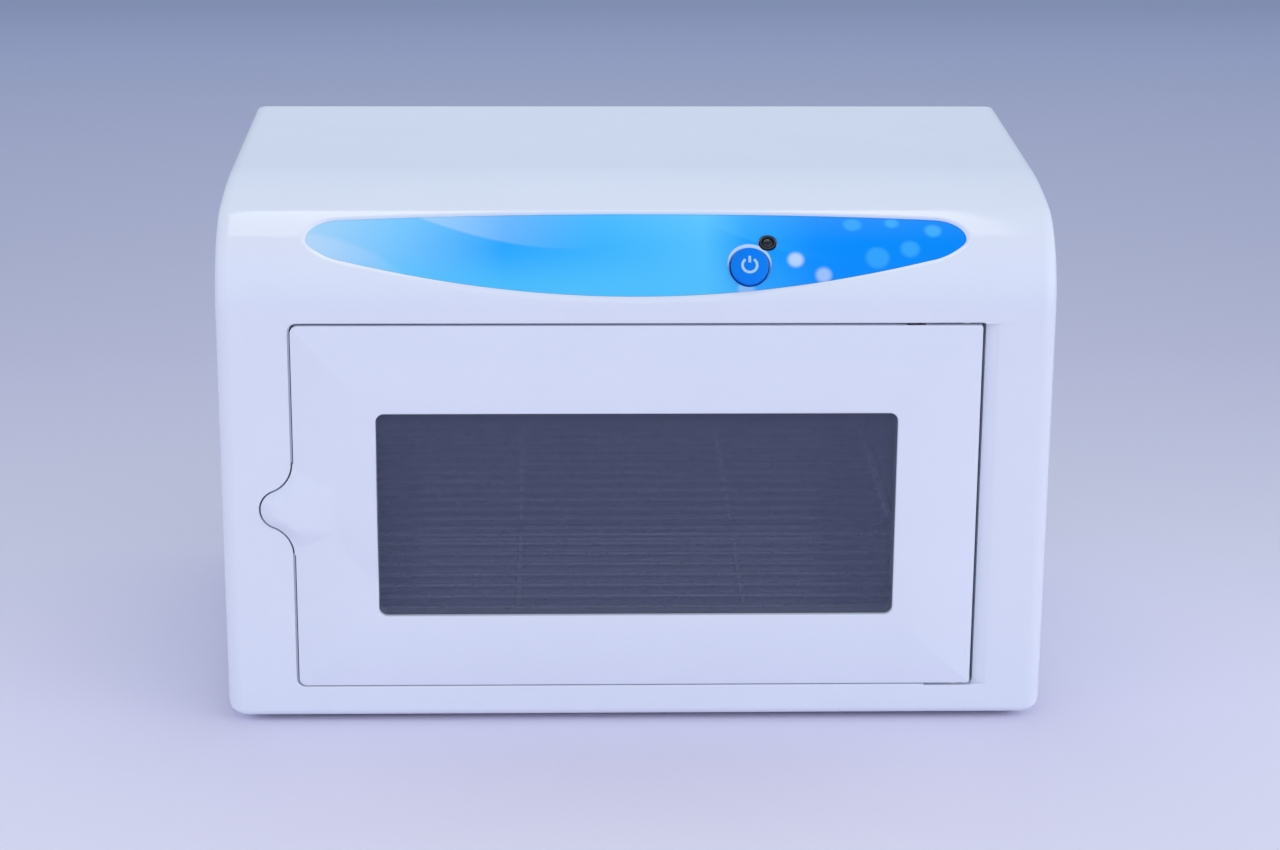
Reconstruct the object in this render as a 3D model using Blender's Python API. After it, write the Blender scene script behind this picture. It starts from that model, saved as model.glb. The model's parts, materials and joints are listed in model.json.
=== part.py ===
"""Countertop UV sterilizer cabinet for salon tools.

One moulded housing holds a chamber with a lamp in its ceiling and a wire rack on its floor. A framed
window door is hinged on the right. The electrics are behind and above the chamber.

Metres, +Z up. X runs across the front, Y from the front face to the back, and Z is the height above the
surface that the cabinet stands on. Every piece hangs under one empty, which puts the origin under the
middle of the cabinet's box.
"""

import math

import bmesh
import bpy
from mathutils import Matrix, Vector

# Housing
WIDTH = 0.380
DEPTH = 0.235
FOOT_HEIGHT = 0.003
TOP = 0.2439
WALL = 0.0036
GAP = 0.0003  # between pieces that touch
BROW_RADIUS = 0.045  # the curve from the front face up to the lid
BROW_SWEEP = 80.0
CROWN_RADIUS = 0.342  # the gentle curve from the brow to the flat lid
TOE_RADIUS = 0.004
SIDE_RADIUS = 0.007  # rounding of the front face's sides
LID_RADIUS = 0.0055  # rounding of the lid's sides: its width, then its drop
LID_DROP = 0.0018
BASE_RADIUS = 0.0104
BACK_RADIUS = 0.003
CORNER_RADIUS = 0.0014  # the lid's back edge, seen from the side
BROW_START = TOP - (
    BROW_RADIUS * math.sin(math.radians(BROW_SWEEP))
    + CROWN_RADIUS * (1 - math.sin(math.radians(BROW_SWEEP)))
)

# Door: the gap line round it, then the leaf
DOOR_HALF = 0.157
DOOR_LOW = 0.0180
DOOR_HIGH = 0.1931
DOOR_GAP = 0.0012  # between the leaf and its pocket
HINGE_GAP = 0.0005  # added to it on the hinge side
DOOR_DEPTH = 0.0115
DOOR_SKIN = 0.0018  # depth of the leaf's inner face
DOOR_CROWN = 0.004  # how far the face swells forward
DOOR_CROWN_RUN = 0.036  # over this distance from the edge
LATCH_CORNER = 0.0035
HINGE_CORNER = 0.0015
POCKET_DEPTH = 0.0136
LEDGE_DEPTH = 0.0024  # where a ledge narrows the pocket behind the gap
LEDGE_REACH = 0.0007  # it does so at the front too under the leaf
LEDGE_END = 0.135  # it stops here, short of the hinges
FLANGE_BACK = 0.0166
TAB_HEIGHT = 0.1053  # height of the finger tab's middle
TAB_CENTRE = 0.1630
TAB_RADIUS = 0.009
TAB_FLARE = 0.022
TAB_DEPTH = 0.006
TAB_GROW = 0.0005  # narrows the gap round the tab
TAB_RIDGE = 0.0030  # how far its ridge stands forward
DOME_CENTRE = (-0.102, 0.105)
DOME_RADIUS = 0.0363
DOME_HEIGHT = 0.0035
WINDOW_LEFT, WINDOW_RIGHT = -0.1184, 0.1186
WINDOW_LOW, WINDOW_HIGH = 0.0547, 0.1522
WINDOW_CORNER = 0.0038
PANE_FRONT, PANE_BACK = -0.0015, 0.0015
PANE_LAP = 0.003
LINER_FRONT, LINER_BACK = 0.0085, 0.0105
RIM_LEFT, RIM_RIGHT = -0.1531, 0.1480  # the inside of the leaf's rim
RIM_LOW, RIM_HIGH = 0.0223, 0.1892
LINER_DROP = 0.002  # the liner's window reaches this far below the leaf's

# Hinge
HINGE_X = 0.1491
HINGE_Y = 0.0048
HINGE_ROUND = 0.0083  # radius of the leaf's end about the hinge axis
PIN_RADIUS = 0.0015
BUSH_BORE = 0.0017
BUSH_SEAT = 0.0029  # radius of the hole in the housing that a bush sits in
LEAF_MIDDLE = (HINGE_X, HINGE_Y, 0.105)  # the door's pieces turn about this point

# Chamber, rack and lamp
CHAMBER_HALF = 0.1435
CHAMBER_FLOOR = 0.0217
CHAMBER_CEILING = 0.196
CHAMBER_BACK = 0.200
SHEET = 0.0012
MOUTH_HALF = 0.1425
MOUTH_LOW, MOUTH_HIGH = 0.022, 0.186
RACK_HALF = 0.1405
RACK_BACK = 0.191
RACK_PITCH = 0.0154
RACK_WIRES = 10
RACK_HEIGHT = 0.0246
RACK_BAR_X = 0.0557
LAMP_Y, LAMP_Z = 0.105, 0.212
LAMP_RADIUS = 0.008
LAMP_END = 0.1495
PIN_SPREAD = 0.0024

# Interlock slot in the door's top edge
SLOT_LEFT, SLOT_RIGHT = 0.1218, 0.1303
FINGER_FRONT = 0.0015

# Blue panel on the brow, in arc length up from the brow's start
PANEL_LOW, PANEL_MIDDLE, PANEL_HIGH = 0.0118, 0.0401, 0.0572
PANEL_LOW_RADIUS = 0.520
PANEL_HIGH_RADIUS = 1.800
PANEL_STRAIGHT = 0.1352
PANEL_END = 0.014
PANEL_DEPTH = 0.0013
PANEL_THICK = 0.0007
PANEL_RIM_ABOVE = 0.0016  # width of the recess's rim over the panel, and under it
PANEL_RIM_BELOW = 0.0036
BUTTON_X, BUTTON_ARC = 0.0506, 0.0256
BUTTON_RADIUS = 0.0086
BUTTON_HOLE = 0.009
LIGHT_X, LIGHT_ARC = 0.0591, 0.0379
LIGHT_HOLE = 0.004

# Back cover, its vents and the power inlet
COVER_FRONT, COVER_BACK = 0.2302, 0.2332
COVER_HALF = 0.1861
COVER_CORNER = 0.0068
VENT_X, VENT_LOW = 0.095, 0.150
VENT_HALF, VENT_WIDTH = 0.030, 0.003
VENT_PITCH = 0.009
VENTS = 6
INLET_X, INLET_Z = -0.130, 0.052
INLET_HALF_WIDTH, INLET_HALF_HEIGHT = 0.016, 0.0115
INLET_FRONT, INLET_BACK = 0.2095, 0.2345

# Base: the rebate that its plate lies in, and the feet
REBATE_HALF = 0.176
REBATE_FRONT, REBATE_BACK = 0.008, 0.229
PLATE_LOW = 0.0042
LEDGE_WIDTH = 0.008
LEDGE_TOP = 0.0106
LEDGE_BOTTOM = 0.0076
FOOT_X, FOOT_FRONT, FOOT_REAR = 0.150, 0.026, 0.209

# Screws, their pilot holes in plastic and their clearance holes
SCREW_HEAD, SCREW_SHANK, SCREW_LENGTH = 0.003, 0.0013, 0.012
HEAD_HEIGHT = 0.0015
PILOT_RADIUS, CLEAR_RADIUS = 0.0016, 0.0018
REAR_SCREW_X, REAR_SCREW_LOW, REAR_SCREW_HIGH = 0.179, 0.019, 0.230
BASE_SCREW_X, BASE_SCREW_FRONT, BASE_SCREW_REAR = 0.172, 0.030, 0.205
DOOR_SCREW_LEFT, DOOR_SCREW_RIGHT = -0.1360, 0.1330
DOOR_SCREW_LOW, DOOR_SCREW_HIGH = 0.036, 0.174

SHARP = math.radians(32)


def dome_rise(radius):
    """Height of the round boss above the leaf, at a distance from its middle."""
    sphere = (DOME_RADIUS**2 + DOME_HEIGHT**2) / (2 * DOME_HEIGHT)
    return DOME_HEIGHT - sphere + math.sqrt(sphere**2 - radius**2)


DOME_CUT = WINDOW_LEFT - 0.0002  # the boss stops just short of the window's edge
FRONT_MOST = DOOR_CROWN + dome_rise(DOME_CUT - DOME_CENTRE[0])
MIDDLE = (DEPTH - FRONT_MOST) / 2


# ---------------------------------------------------------------- tools


def clear_scene():
    for obj in list(bpy.data.objects):
        bpy.data.objects.remove(obj, do_unlink=True)


def make_assembly():
    assembly = bpy.data.objects.new("assembly", None)
    assembly.location = (0, -MIDDLE, 0)
    bpy.context.scene.collection.objects.link(assembly)
    return assembly


def solid(name, points, faces):
    """An object from points and faces, with its faces turned outwards."""
    shape = bmesh.new()
    corners = [shape.verts.new(point) for point in points]
    for face in faces:
        shape.faces.new([corners[i] for i in face])
    bmesh.ops.remove_doubles(shape, verts=shape.verts, dist=1e-6)
    bmesh.ops.recalc_face_normals(shape, faces=shape.faces)
    mesh = bpy.data.meshes.new(name)
    shape.to_mesh(mesh)
    shape.free()
    mesh.shade_smooth()
    mesh.set_sharp_from_angle(angle=SHARP)
    obj = bpy.data.objects.new(name, mesh)
    bpy.context.scene.collection.objects.link(obj)
    obj.parent = ASSEMBLY
    return obj


def band(first, second, count):
    """Faces between two equal rings of points, from where each ring starts in the list."""
    return [(first + i, first + (i + 1) % count, second + (i + 1) % count, second + i) for i in range(count)]


def loft(name, rings, loop=False):
    """A skin over equal rings of points, capped at its ends or running round in a loop."""
    count = len(rings[0])
    points = [point for ring in rings for point in ring]
    faces = []
    for k in range(len(rings) if loop else len(rings) - 1):
        faces += band(k * count, (k + 1) % len(rings) * count, count)
    if not loop:
        faces += [range(count), range(len(points) - count, len(points))]
    return solid(name, points, faces)


def box(name, low, high):
    bottom = [(low[0], low[1]), (high[0], low[1]), (high[0], high[1]), (low[0], high[1])]
    return loft(name, [[(x, y, z) for x, y in bottom] for z in (low[2], high[2])])


def plate(name, outline, front, back):
    """An outline in X and Z, drawn out along Y."""
    return loft(name, [[(x, y, z) for x, z in outline] for y in (front, back)])


def arc(centre, radius, start, end, steps, last_radius=None):
    """Points round a centre, from one angle to another in degrees, with both ends."""
    growth = (last_radius or radius) - radius
    points = []
    for i in range(steps + 1):
        angle = math.radians(start + (end - start) * i / steps)
        reach = radius + growth * i / steps
        points.append((centre[0] + reach * math.cos(angle), centre[1] + reach * math.sin(angle)))
    return points


def rounded(left, right, low, high, left_radius, right_radius, steps=3):
    """A rectangle with its corners rounded, anticlockwise from the lower left."""
    near, far = left_radius, right_radius
    return (
        arc((left + near, low + near), near, 180, 270, steps)
        + arc((right - far, low + far), far, 270, 360, steps)
        + arc((right - far, high - far), far, 0, 90, steps)
        + arc((left + near, high - near), near, 90, 180, steps)
    )


def pointing(point, direction):
    """The frame at a point whose +Z runs along a direction."""
    turn = Vector(direction).to_track_quat("Z", "Y").to_matrix().to_4x4()
    return Matrix.Translation(point) @ turn


def turned(name, profile, frame, sides=12, bored=False):
    """A (radius, height) profile spun about a frame's +Z. A bored one runs round its own section."""
    angles = [2 * math.pi * (i + 0.5) / sides for i in range(sides)]
    rings = [[frame @ Vector((r * math.cos(a), r * math.sin(a), h)) for a in angles] for r, h in profile]
    return loft(name, rings, loop=bored)


def rod(name, start, end, radius, sides=12):
    start, end = Vector(start), Vector(end)
    length = (end - start).length
    profile = [(0, 0), (radius, 0), (radius, length), (0, length)]
    return turned(name, profile, pointing(start, end - start), sides)


def combine(target, operation, others):
    """Boolean modifiers that cut or join helpers, which themselves stay out of the model."""
    for other in others:
        modifier = target.modifiers.new(other.name, "BOOLEAN")
        modifier.operation = operation
        modifier.solver = "EXACT"
        modifier.object = other
        other.hide_render = True
        other.display_type = "WIRE"
    return target


def cut(target, *others):
    return combine(target, "DIFFERENCE", others)


def join(target, *others):
    return combine(target, "UNION", others)


def set_origin(obj, point):
    """Moves an object's origin onto its joint's axis and leaves its shape where it is."""
    obj.data.transform(Matrix.Translation(-Vector(point)))
    obj.location = point


def paint(obj, name, colour, roughness, metallic=0.0, alpha=1.0):
    material = bpy.data.materials.new(name)
    material.use_nodes = True
    shader = material.node_tree.nodes["Principled BSDF"]
    shader.inputs["Base Color"].default_value = (*colour, 1)
    shader.inputs["Roughness"].default_value = roughness
    shader.inputs["Metallic"].default_value = metallic
    shader.inputs["Alpha"].default_value = alpha
    obj.data.materials.append(material)
    return obj


def white(obj):
    return paint(obj, obj.name + "_abs", (0.80, 0.83, 0.90), 0.25)


def steel(obj):
    return paint(obj, obj.name + "_steel", (0.62, 0.63, 0.65), 0.3, metallic=1.0)


def dark(obj):
    return paint(obj, obj.name + "_dark", (0.03, 0.03, 0.035), 0.5)


def pale(obj):
    return paint(obj, obj.name + "_nylon", (0.75, 0.74, 0.70), 0.45)


# ---------------------------------------------------------------- housing


def side_outline(front, lid, base, back):
    """The housing seen from the side, pulled in from its faces: (y, z, radius of the end rounding)."""
    toe = max(TOE_RADIUS - max(front, base), GAP)
    heel = max(CORNER_RADIUS - max(base, back), GAP)
    nape = max(CORNER_RADIUS - max(lid, back), GAP)
    floor = FOOT_HEIGHT + base
    rear = DEPTH - back
    brow = 180 - BROW_SWEEP
    crown = (
        BROW_RADIUS + (BROW_RADIUS - CROWN_RADIUS) * math.cos(math.radians(brow)),
        BROW_START + (BROW_RADIUS - CROWN_RADIUS) * math.sin(math.radians(brow)),
    )
    stretches = [
        (arc((front + toe, floor + toe), toe, 270, 180, 3), BASE_RADIUS, SIDE_RADIUS),
        (arc((BROW_RADIUS, BROW_START), BROW_RADIUS - front, 180, brow, 10, BROW_RADIUS - lid),
         SIDE_RADIUS, LID_RADIUS),
        (arc(crown, CROWN_RADIUS - lid, brow, 90, 3)[1:], LID_RADIUS, LID_RADIUS),
        (arc((rear - nape, TOP - lid - nape), nape, 90, 0, 2), LID_RADIUS, BACK_RADIUS),
        (arc((rear - heel, floor + heel), heel, 0, -90, 2), BACK_RADIUS, BASE_RADIUS),
    ]
    points = []
    for stretch, first, last in stretches:
        for i, (y, z) in enumerate(stretch):
            points.append((y, z, first + (last - first) * i / (len(stretch) - 1)))
    return points


def shell(name, wall=0.0, floor=0.0, back=0.0, steps=3):
    """The housing's rounded block, or the smaller block inside its walls."""
    rings = []
    for side, order in ((-1, range(steps, -1, -1)), (1, range(steps + 1))):
        for k in order:
            angle = math.pi / 2 * k / steps
            drop = 1 - math.cos(angle)
            outline = side_outline(
                wall + (SIDE_RADIUS - wall) * drop,
                wall + max(LID_DROP - wall, 0) * drop,
                floor + (BASE_RADIUS - wall) * drop,
                back + BACK_RADIUS * drop,
            )
            ring = []
            for y, z, radius in outline:
                end = max(radius - wall, GAP) * (1 - math.sin(angle))
                ring.append((side * (WIDTH / 2 - wall - end), y, z))
            rings.append(ring)
    return loft(name, rings)


def brow_frame(x, along, depth=0.0):
    """The frame on the brow at an arc length up it, with +Z out of the surface and +Y up the slope."""
    angle = along / BROW_RADIUS
    out = Vector((0, -math.cos(angle), math.sin(angle)))
    up = Vector((0, math.sin(angle), math.cos(angle)))
    place = Vector((x, BROW_RADIUS, BROW_START)) + out * (BROW_RADIUS - depth)
    return Matrix.Translation(place) @ Matrix((Vector((1, 0, 0)), up, out)).transposed().to_4x4()


def panel_grid(depth, above, below, columns=12, end_steps=5, rows=7):
    """Points over the blue panel's outline, at a depth under the brow and grown above and below."""
    grow = (above + below) / 2
    ends = [(PANEL_END + grow) * math.sin(math.radians(16 * k)) for k in range(1, end_steps + 1)]
    shrink = [math.cos(math.radians(16 * k)) for k in range(1, end_steps + 1)]
    stations = [(PANEL_STRAIGHT * (2 * i / columns - 1), 1.0) for i in range(columns + 1)]
    tail = [(PANEL_STRAIGHT + run, scale) for run, scale in zip(ends, shrink)]
    stations = [(-x, scale) for x, scale in reversed(tail)] + stations + tail
    grid = []
    for x, scale in stations:
        low = PANEL_LOW + x**2 / (2 * PANEL_LOW_RADIUS) - below
        high = PANEL_HIGH - x**2 / (2 * PANEL_HIGH_RADIUS) + above
        low = PANEL_MIDDLE + (low - PANEL_MIDDLE) * scale
        high = PANEL_MIDDLE + (high - PANEL_MIDDLE) * scale
        heights = [low + (high - low) * j / rows for j in range(rows + 1)]
        grid.append([brow_frame(x, along, depth).translation for along in heights])
    return grid


def panel_block(name, layers):
    """A block with the blue panel's outline, from its deepest layer to its highest."""
    grids = [panel_grid(*layer) for layer in layers]
    columns, rows = len(grids[0]), len(grids[0][0])
    points, faces = [], []
    for grid in (grids[0], grids[-1]):
        start = len(points)
        points += [point for column in grid for point in column]
        for i in range(columns - 1):
            for j in range(rows - 1):
                corner = start + i * rows + j
                faces.append((corner, corner + rows, corner + rows + 1, corner + 1))
    edge = [(i, 0) for i in range(columns - 1)] + [(columns - 1, j) for j in range(rows - 1)]
    edge += [(i, rows - 1) for i in range(columns - 1, 0, -1)] + [(0, j) for j in range(rows - 1, 0, -1)]
    for k, grid in enumerate(grids):
        start = len(points)
        points += [grid[i][j] for i, j in edge]
        if k:
            faces += band(start - len(edge), start, len(edge))
    return solid(name, points, faces)


def tab_outline(offset):
    """The finger tab's side of the gap line, from below to above; a positive offset is outside it."""
    edge = -DOOR_HALF - offset
    tip = TAB_RADIUS + offset
    flare = ((TAB_FLARE**2 + (TAB_CENTRE - DOOR_HALF) ** 2 - TAB_RADIUS**2)
             / (2 * (TAB_RADIUS + TAB_CENTRE - DOOR_HALF)))
    hollow = (-DOOR_HALF - flare, TAB_FLARE)
    lean = math.degrees(math.atan2(hollow[1], -TAB_CENTRE - hollow[0]))
    upper = arc(hollow, flare - offset, 0, -lean, 5)
    upper += arc((-TAB_CENTRE, 0), tip, 180 - lean, 180, 5)[1:]
    lower = [(x, -z) for x, z in reversed(upper[:-1])]
    return [(min(x, edge), TAB_HEIGHT + z) for x, z in upper + lower]


def button_frame():
    return brow_frame(BUTTON_X, BUTTON_ARC)


def light_frame():
    return brow_frame(LIGHT_X, LIGHT_ARC)


def screw_posts():
    """(x, z) of the four rear screws."""
    return [(x, z) for x in (-REAR_SCREW_X, REAR_SCREW_X) for z in (REAR_SCREW_LOW, REAR_SCREW_HIGH)]


def housing_cavity():
    """The space inside the housing's walls, less the door frame and the posts that stand in it."""
    cavity = shell("housing_cavity", WALL, LEDGE_TOP - FOOT_HEIGHT, -0.010)
    helpers = [box("door_surround", (-0.1765, 0.001, 0.0), (0.1685, FLANGE_BACK, 0.1975))]
    for name, low, high in (("upper_knuckle", 0.190, 0.2035), ("lower_knuckle", 0.002, 0.021)):
        helpers.append(rod(name, (HINGE_X, HINGE_Y, low), (HINGE_X, HINGE_Y, high), 0.007))
    for i, (x, z) in enumerate(screw_posts()):
        low = (min(x - 0.006, math.copysign(0.188, x)), 0.206, z - 0.0135 if z < 0.1 else z - 0.006)
        high = (max(x + 0.006, math.copysign(0.188, x)), COVER_FRONT - GAP, z + 0.006 if z < 0.1 else TOP)
        helpers.append(box(f"rear_post_{i}", low, high))
    for i, x in enumerate((-0.022, 0.022)):
        frame = button_frame() @ Matrix.Translation((x, 0.016, -0.0151))
        helpers.append(turned(f"board_post_{i}", [(0, 0), (0.003, 0), (0.003, 0.014), (0, 0.014)], frame, 8))
    return cut(cavity, *helpers)


def hinge_scoop():
    """The hollow beside the hinge, which the leaf's swollen face turns into."""
    edge = DOOR_HALF + DOOR_GAP / 2 + HINGE_GAP
    section = [(edge - 0.001, -0.004), (0.1690, -0.003), (0.1640, 0), (edge, 0.0036), (edge - 0.001, 0.0036)]
    return loft("hinge_scoop", [[(x, y, z) for x, y in section] for z in (0.0180, 0.1932)])


def pocket_outline(ledge):
    """The door pocket's outline, narrowed by a ledge; under the leaf it is always narrowed."""
    gap = DOOR_GAP / 2
    left, right = ledge - DOOR_HALF - gap, DOOR_HALF + gap + HINGE_GAP
    low, high = DOOR_LOW - gap, DOOR_HIGH + gap
    floor, ceiling = low + LEDGE_REACH, high - ledge
    near, far = LATCH_CORNER + gap - ledge, HINGE_CORNER + gap
    return (
        arc((left + near, floor + near), near, 180, 270, 3)
        + [(LEDGE_END, floor), (LEDGE_END, low)]
        + arc((right - far, low + far), far, 270, 360, 3)
        + arc((right - far, high - far), far, 0, 90, 3)
        + [(LEDGE_END, high), (LEDGE_END, ceiling)]
        + arc((left + near, ceiling - near), near, 90, 180, 3)
    )


def door_pocket():
    layers = [(-0.010, 0), (LEDGE_DEPTH, 0), (LEDGE_DEPTH, LEDGE_REACH), (POCKET_DEPTH, LEDGE_REACH)]
    return loft("door_pocket", [[(x, y, z) for x, z in pocket_outline(ledge)] for y, ledge in layers])


def tab_notch():
    outline = tab_outline(DOOR_GAP / 2)
    inner = [(-0.150, outline[-1][1]), (-0.150, outline[0][1])]
    return plate("tab_notch", outline + inner, -0.010, TAB_DEPTH + 0.0023)


def make_main_housing():
    housing = shell("main_housing")
    cut(
        housing,
        housing_cavity(),
        door_pocket(),
        tab_notch(),
        hinge_scoop(),
        box("chamber_mouth", (-MOUTH_HALF, 0.010, MOUTH_LOW), (MOUTH_HALF, 0.020, MOUTH_HIGH)),
        box("base_opening", (LEDGE_WIDTH - REBATE_HALF, 0.014, 0.006),
            (REBATE_HALF - LEDGE_WIDTH, 0.223, 0.014)),
        box("base_rebate", (-REBATE_HALF, REBATE_FRONT, 0.001), (REBATE_HALF, REBATE_BACK, LEDGE_BOTTOM)),
        panel_block("panel_recess", [
            (PANEL_DEPTH + PANEL_THICK + GAP, GAP, GAP),
            (PANEL_DEPTH, GAP, GAP),
            (PANEL_DEPTH * 0.15, PANEL_RIM_ABOVE * 0.6, PANEL_RIM_BELOW * 0.8),
            (0, PANEL_RIM_ABOVE, PANEL_RIM_BELOW),
            (-0.002, PANEL_RIM_ABOVE + 0.002, PANEL_RIM_BELOW + 0.002),
        ]),
        box("finger_passage", (SLOT_LEFT, 0.0048, 0.190), (SLOT_RIGHT, 0.0102, 0.200)),
        box("catch_hole", (-0.1546, 0.010, 0.0896), (-0.1454, 0.020, 0.1204)),
    )
    bores = [
        ("button_bore", button_frame(), BUTTON_HOLE, -0.009, 0.004),
        ("light_bore", light_frame(), LIGHT_HOLE, -0.009, 0.004),
        ("upper_bush_bore", Matrix.Translation((HINGE_X, HINGE_Y, 0)), BUSH_SEAT, 0.192, 0.2022),
        ("lower_bush_bore", Matrix.Translation((HINGE_X, HINGE_Y, 0)), BUSH_SEAT, 0.0093, 0.019),
    ]
    for i, (x, z) in enumerate(screw_posts()):
        bores.append((f"rear_pilot_{i}", pointing((x, 0, z), (0, 1, 0)), PILOT_RADIUS, 0.216, 0.240))
    for i, (x, y) in enumerate(base_screws()):
        bores.append((f"base_pilot_{i}", Matrix.Translation((x, y, 0)), PILOT_RADIUS, 0.005, 0.014))
    for name, frame, radius, low, high in bores:
        cut(housing, turned(name, [(0, low), (radius, low), (radius, high), (0, high)], frame))
    return white(housing)


# ---------------------------------------------------------------- back and base


def base_screws():
    """(x, y) of the four screws under the base."""
    return [(x, y) for x in (-BASE_SCREW_X, BASE_SCREW_X) for y in (BASE_SCREW_FRONT, BASE_SCREW_REAR)]


def feet():
    """(name, x, y) of each foot."""
    return [
        ("foot_front_left", -FOOT_X, FOOT_FRONT),
        ("foot_front_right", FOOT_X, FOOT_FRONT),
        ("foot_rear_left", -FOOT_X, FOOT_REAR),
        ("foot_rear_right", FOOT_X, FOOT_REAR),
    ]


def make_screw(name, point, direction, length=SCREW_LENGTH):
    """A pan-head screw: the point is under its head, and the shank runs along the direction."""
    profile = [(0, -HEAD_HEIGHT), (SCREW_HEAD * 0.7, -HEAD_HEIGHT), (SCREW_HEAD, -HEAD_HEIGHT * 0.4),
               (SCREW_HEAD, 0), (SCREW_SHANK, 0), (SCREW_SHANK, length), (0, length)]
    return steel(turned(name, profile, pointing(point, direction), 10))


def make_rear_cover():
    outline = rounded(-COVER_HALF, COVER_HALF, LEDGE_TOP + GAP, TOP - WALL - GAP, COVER_CORNER, COVER_CORNER)
    cover = plate("rear_cover", outline, COVER_FRONT, COVER_BACK)
    for x in (-VENT_X, VENT_X):
        for i in range(VENTS):
            z = VENT_LOW + VENT_PITCH * i
            low = (x - VENT_HALF, 0.225, z - VENT_WIDTH / 2)
            cut(cover, box(f"vent_{x}_{i}", low, (x + VENT_HALF, 0.240, z + VENT_WIDTH / 2)))
    wide, tall = INLET_HALF_WIDTH + GAP, INLET_HALF_HEIGHT + GAP
    cut(cover, box("inlet_window", (INLET_X - wide, 0.225, INLET_Z - tall),
                   (INLET_X + wide, 0.240, INLET_Z + tall)))
    for i, (x, z) in enumerate(screw_posts()):
        cut(cover, rod(f"cover_hole_{i}", (x, 0.225, z), (x, 0.240, z), CLEAR_RADIUS, 10))
        place = (x, COVER_BACK + GAP, z)
        make_screw(f"rear_screw_{i + 1}", place, (0, -1, 0))
    return white(cover)


def make_base_plate():
    base = box("base_plate", (GAP - REBATE_HALF, REBATE_FRONT + GAP, PLATE_LOW),
               (REBATE_HALF - GAP, REBATE_BACK - GAP, LEDGE_BOTTOM - GAP))
    for i, (x, y) in enumerate(base_screws()):
        hole = [(0, 0.001), (0.0035, 0.001), (0.0035, 0.0061), (CLEAR_RADIUS, 0.0061), (CLEAR_RADIUS, 0.009),
                (0, 0.009)]
        cut(base, turned(f"base_hole_{i}", hole, Matrix.Translation((x, y, 0)), 10))
        make_screw(f"base_screw_{i + 1}", (x, y, 0.0061 - GAP), (0, 0, 1), length=0.007)
    for name, x, y in feet():
        cut(base, rod(name + "_hole", (x, y, 0.001), (x, y, 0.010), 0.0028, 10))
    return white(base)


def make_feet():
    profile = [(0, 0), (0.0075, 0), (0.0085, 0.001), (0.008, 0.0039), (0.0025, 0.0039), (0.0025, 0.0076),
               (0.0034, 0.0082), (0.002, 0.0098), (0, 0.0098)]
    for name, x, y in feet():
        foot = turned(name, profile, Matrix.Translation((x, y, 0)), 14)
        paint(foot, name + "_rubber", (0.05, 0.05, 0.055), 0.8)


def make_power_inlet():
    """An appliance inlet whose mouth faces back, with three blades in it."""
    flange = box("power_inlet", (INLET_X - INLET_HALF_WIDTH, INLET_FRONT, INLET_Z - INLET_HALF_HEIGHT),
                 (INLET_X + INLET_HALF_WIDTH, INLET_BACK, INLET_Z + INLET_HALF_HEIGHT))
    mouth = rounded(INLET_X - 0.012, INLET_X + 0.012, INLET_Z - 0.008, INLET_Z + 0.008, 0.002, 0.002)
    cut(flange, plate("inlet_mouth", mouth, 0.2185, 0.240))
    for i, (x, z) in enumerate(((-0.007, 0.001), (0, 0.004), (0.007, 0.001))):
        low = (INLET_X + x - 0.001, 0.2175, INLET_Z + z - 0.002)
        high = (INLET_X + x + 0.001, 0.2315, INLET_Z + z + 0.002)
        join(flange, box(f"inlet_blade_{i}", low, high))
    return dark(flange)


# ---------------------------------------------------------------- brow panel


def make_panel_overlay():
    overlay = panel_block("panel_overlay", [(PANEL_DEPTH + PANEL_THICK, 0, 0), (PANEL_DEPTH, 0, 0)])
    for name, frame, radius in (("overlay_button_hole", button_frame(), BUTTON_HOLE + GAP),
                                ("overlay_light_hole", light_frame(), LIGHT_HOLE + GAP)):
        cut(overlay, turned(name, [(0, -0.005), (radius, -0.005), (radius, 0.002), (0, 0.002)], frame, 16))
    return paint(overlay, "panel_blue", (0.05, 0.48, 0.95), 0.3)


def make_power_button():
    profile = [(0, 0.0010), (0.0045, 0.0009), (0.0074, 0.0006), (0.0084, 0), (BUTTON_RADIUS, -0.0008),
               (BUTTON_RADIUS, -0.0054), (0.0102, -0.0054), (0.0102, -0.0066), (0.003, -0.0066),
               (0.003, -0.0096), (0, -0.0096)]
    button = turned("power_button", profile, button_frame(), 20)
    set_origin(button, button_frame().translation)
    return paint(button, "button_blue", (0.005, 0.17, 0.87), 0.25)


def place_in(obj, frame):
    obj.data.transform(frame)
    return obj


def make_control_board():
    frame = button_frame()
    board = box("control_board", (-0.030, -0.007, -0.0170), (0.032, 0.021, -0.0154))
    paint(place_in(board, frame), "board_green", (0.02, 0.16, 0.06), 0.4)
    switch = box("button_switch", (-0.003, -0.003, -0.0151), (0.003, 0.003, -0.0118))
    dark(place_in(switch, frame))


def make_indicator():
    frame = light_frame()
    ring = [(0.0037, -0.0034), (0.0037, -0.0011), (0.0034, -0.0008), (0.0030, -0.0008), (0.0028, -0.0012),
            (0.0028, -0.0034)]
    dark(turned("indicator_bezel", ring, frame, 16, bored=True))
    lens = [(0, -0.0032), (0.0025, -0.0032), (0.0025, -0.0014), (0.0015, -0.0010), (0, -0.0009)]
    paint(turned("indicator_lens", lens, frame, 14), "lens_smoke", (0.02, 0.03, 0.06), 0.15)
    led = [(0, -0.0095), (0.0015, -0.0095), (0.0015, -0.0045), (0.0008, -0.0036), (0, -0.0036)]
    paint(turned("indicator_led", led, frame, 8), "led_clear", (0.6, 0.75, 0.9), 0.2)


# ---------------------------------------------------------------- chamber and lamp


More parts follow.
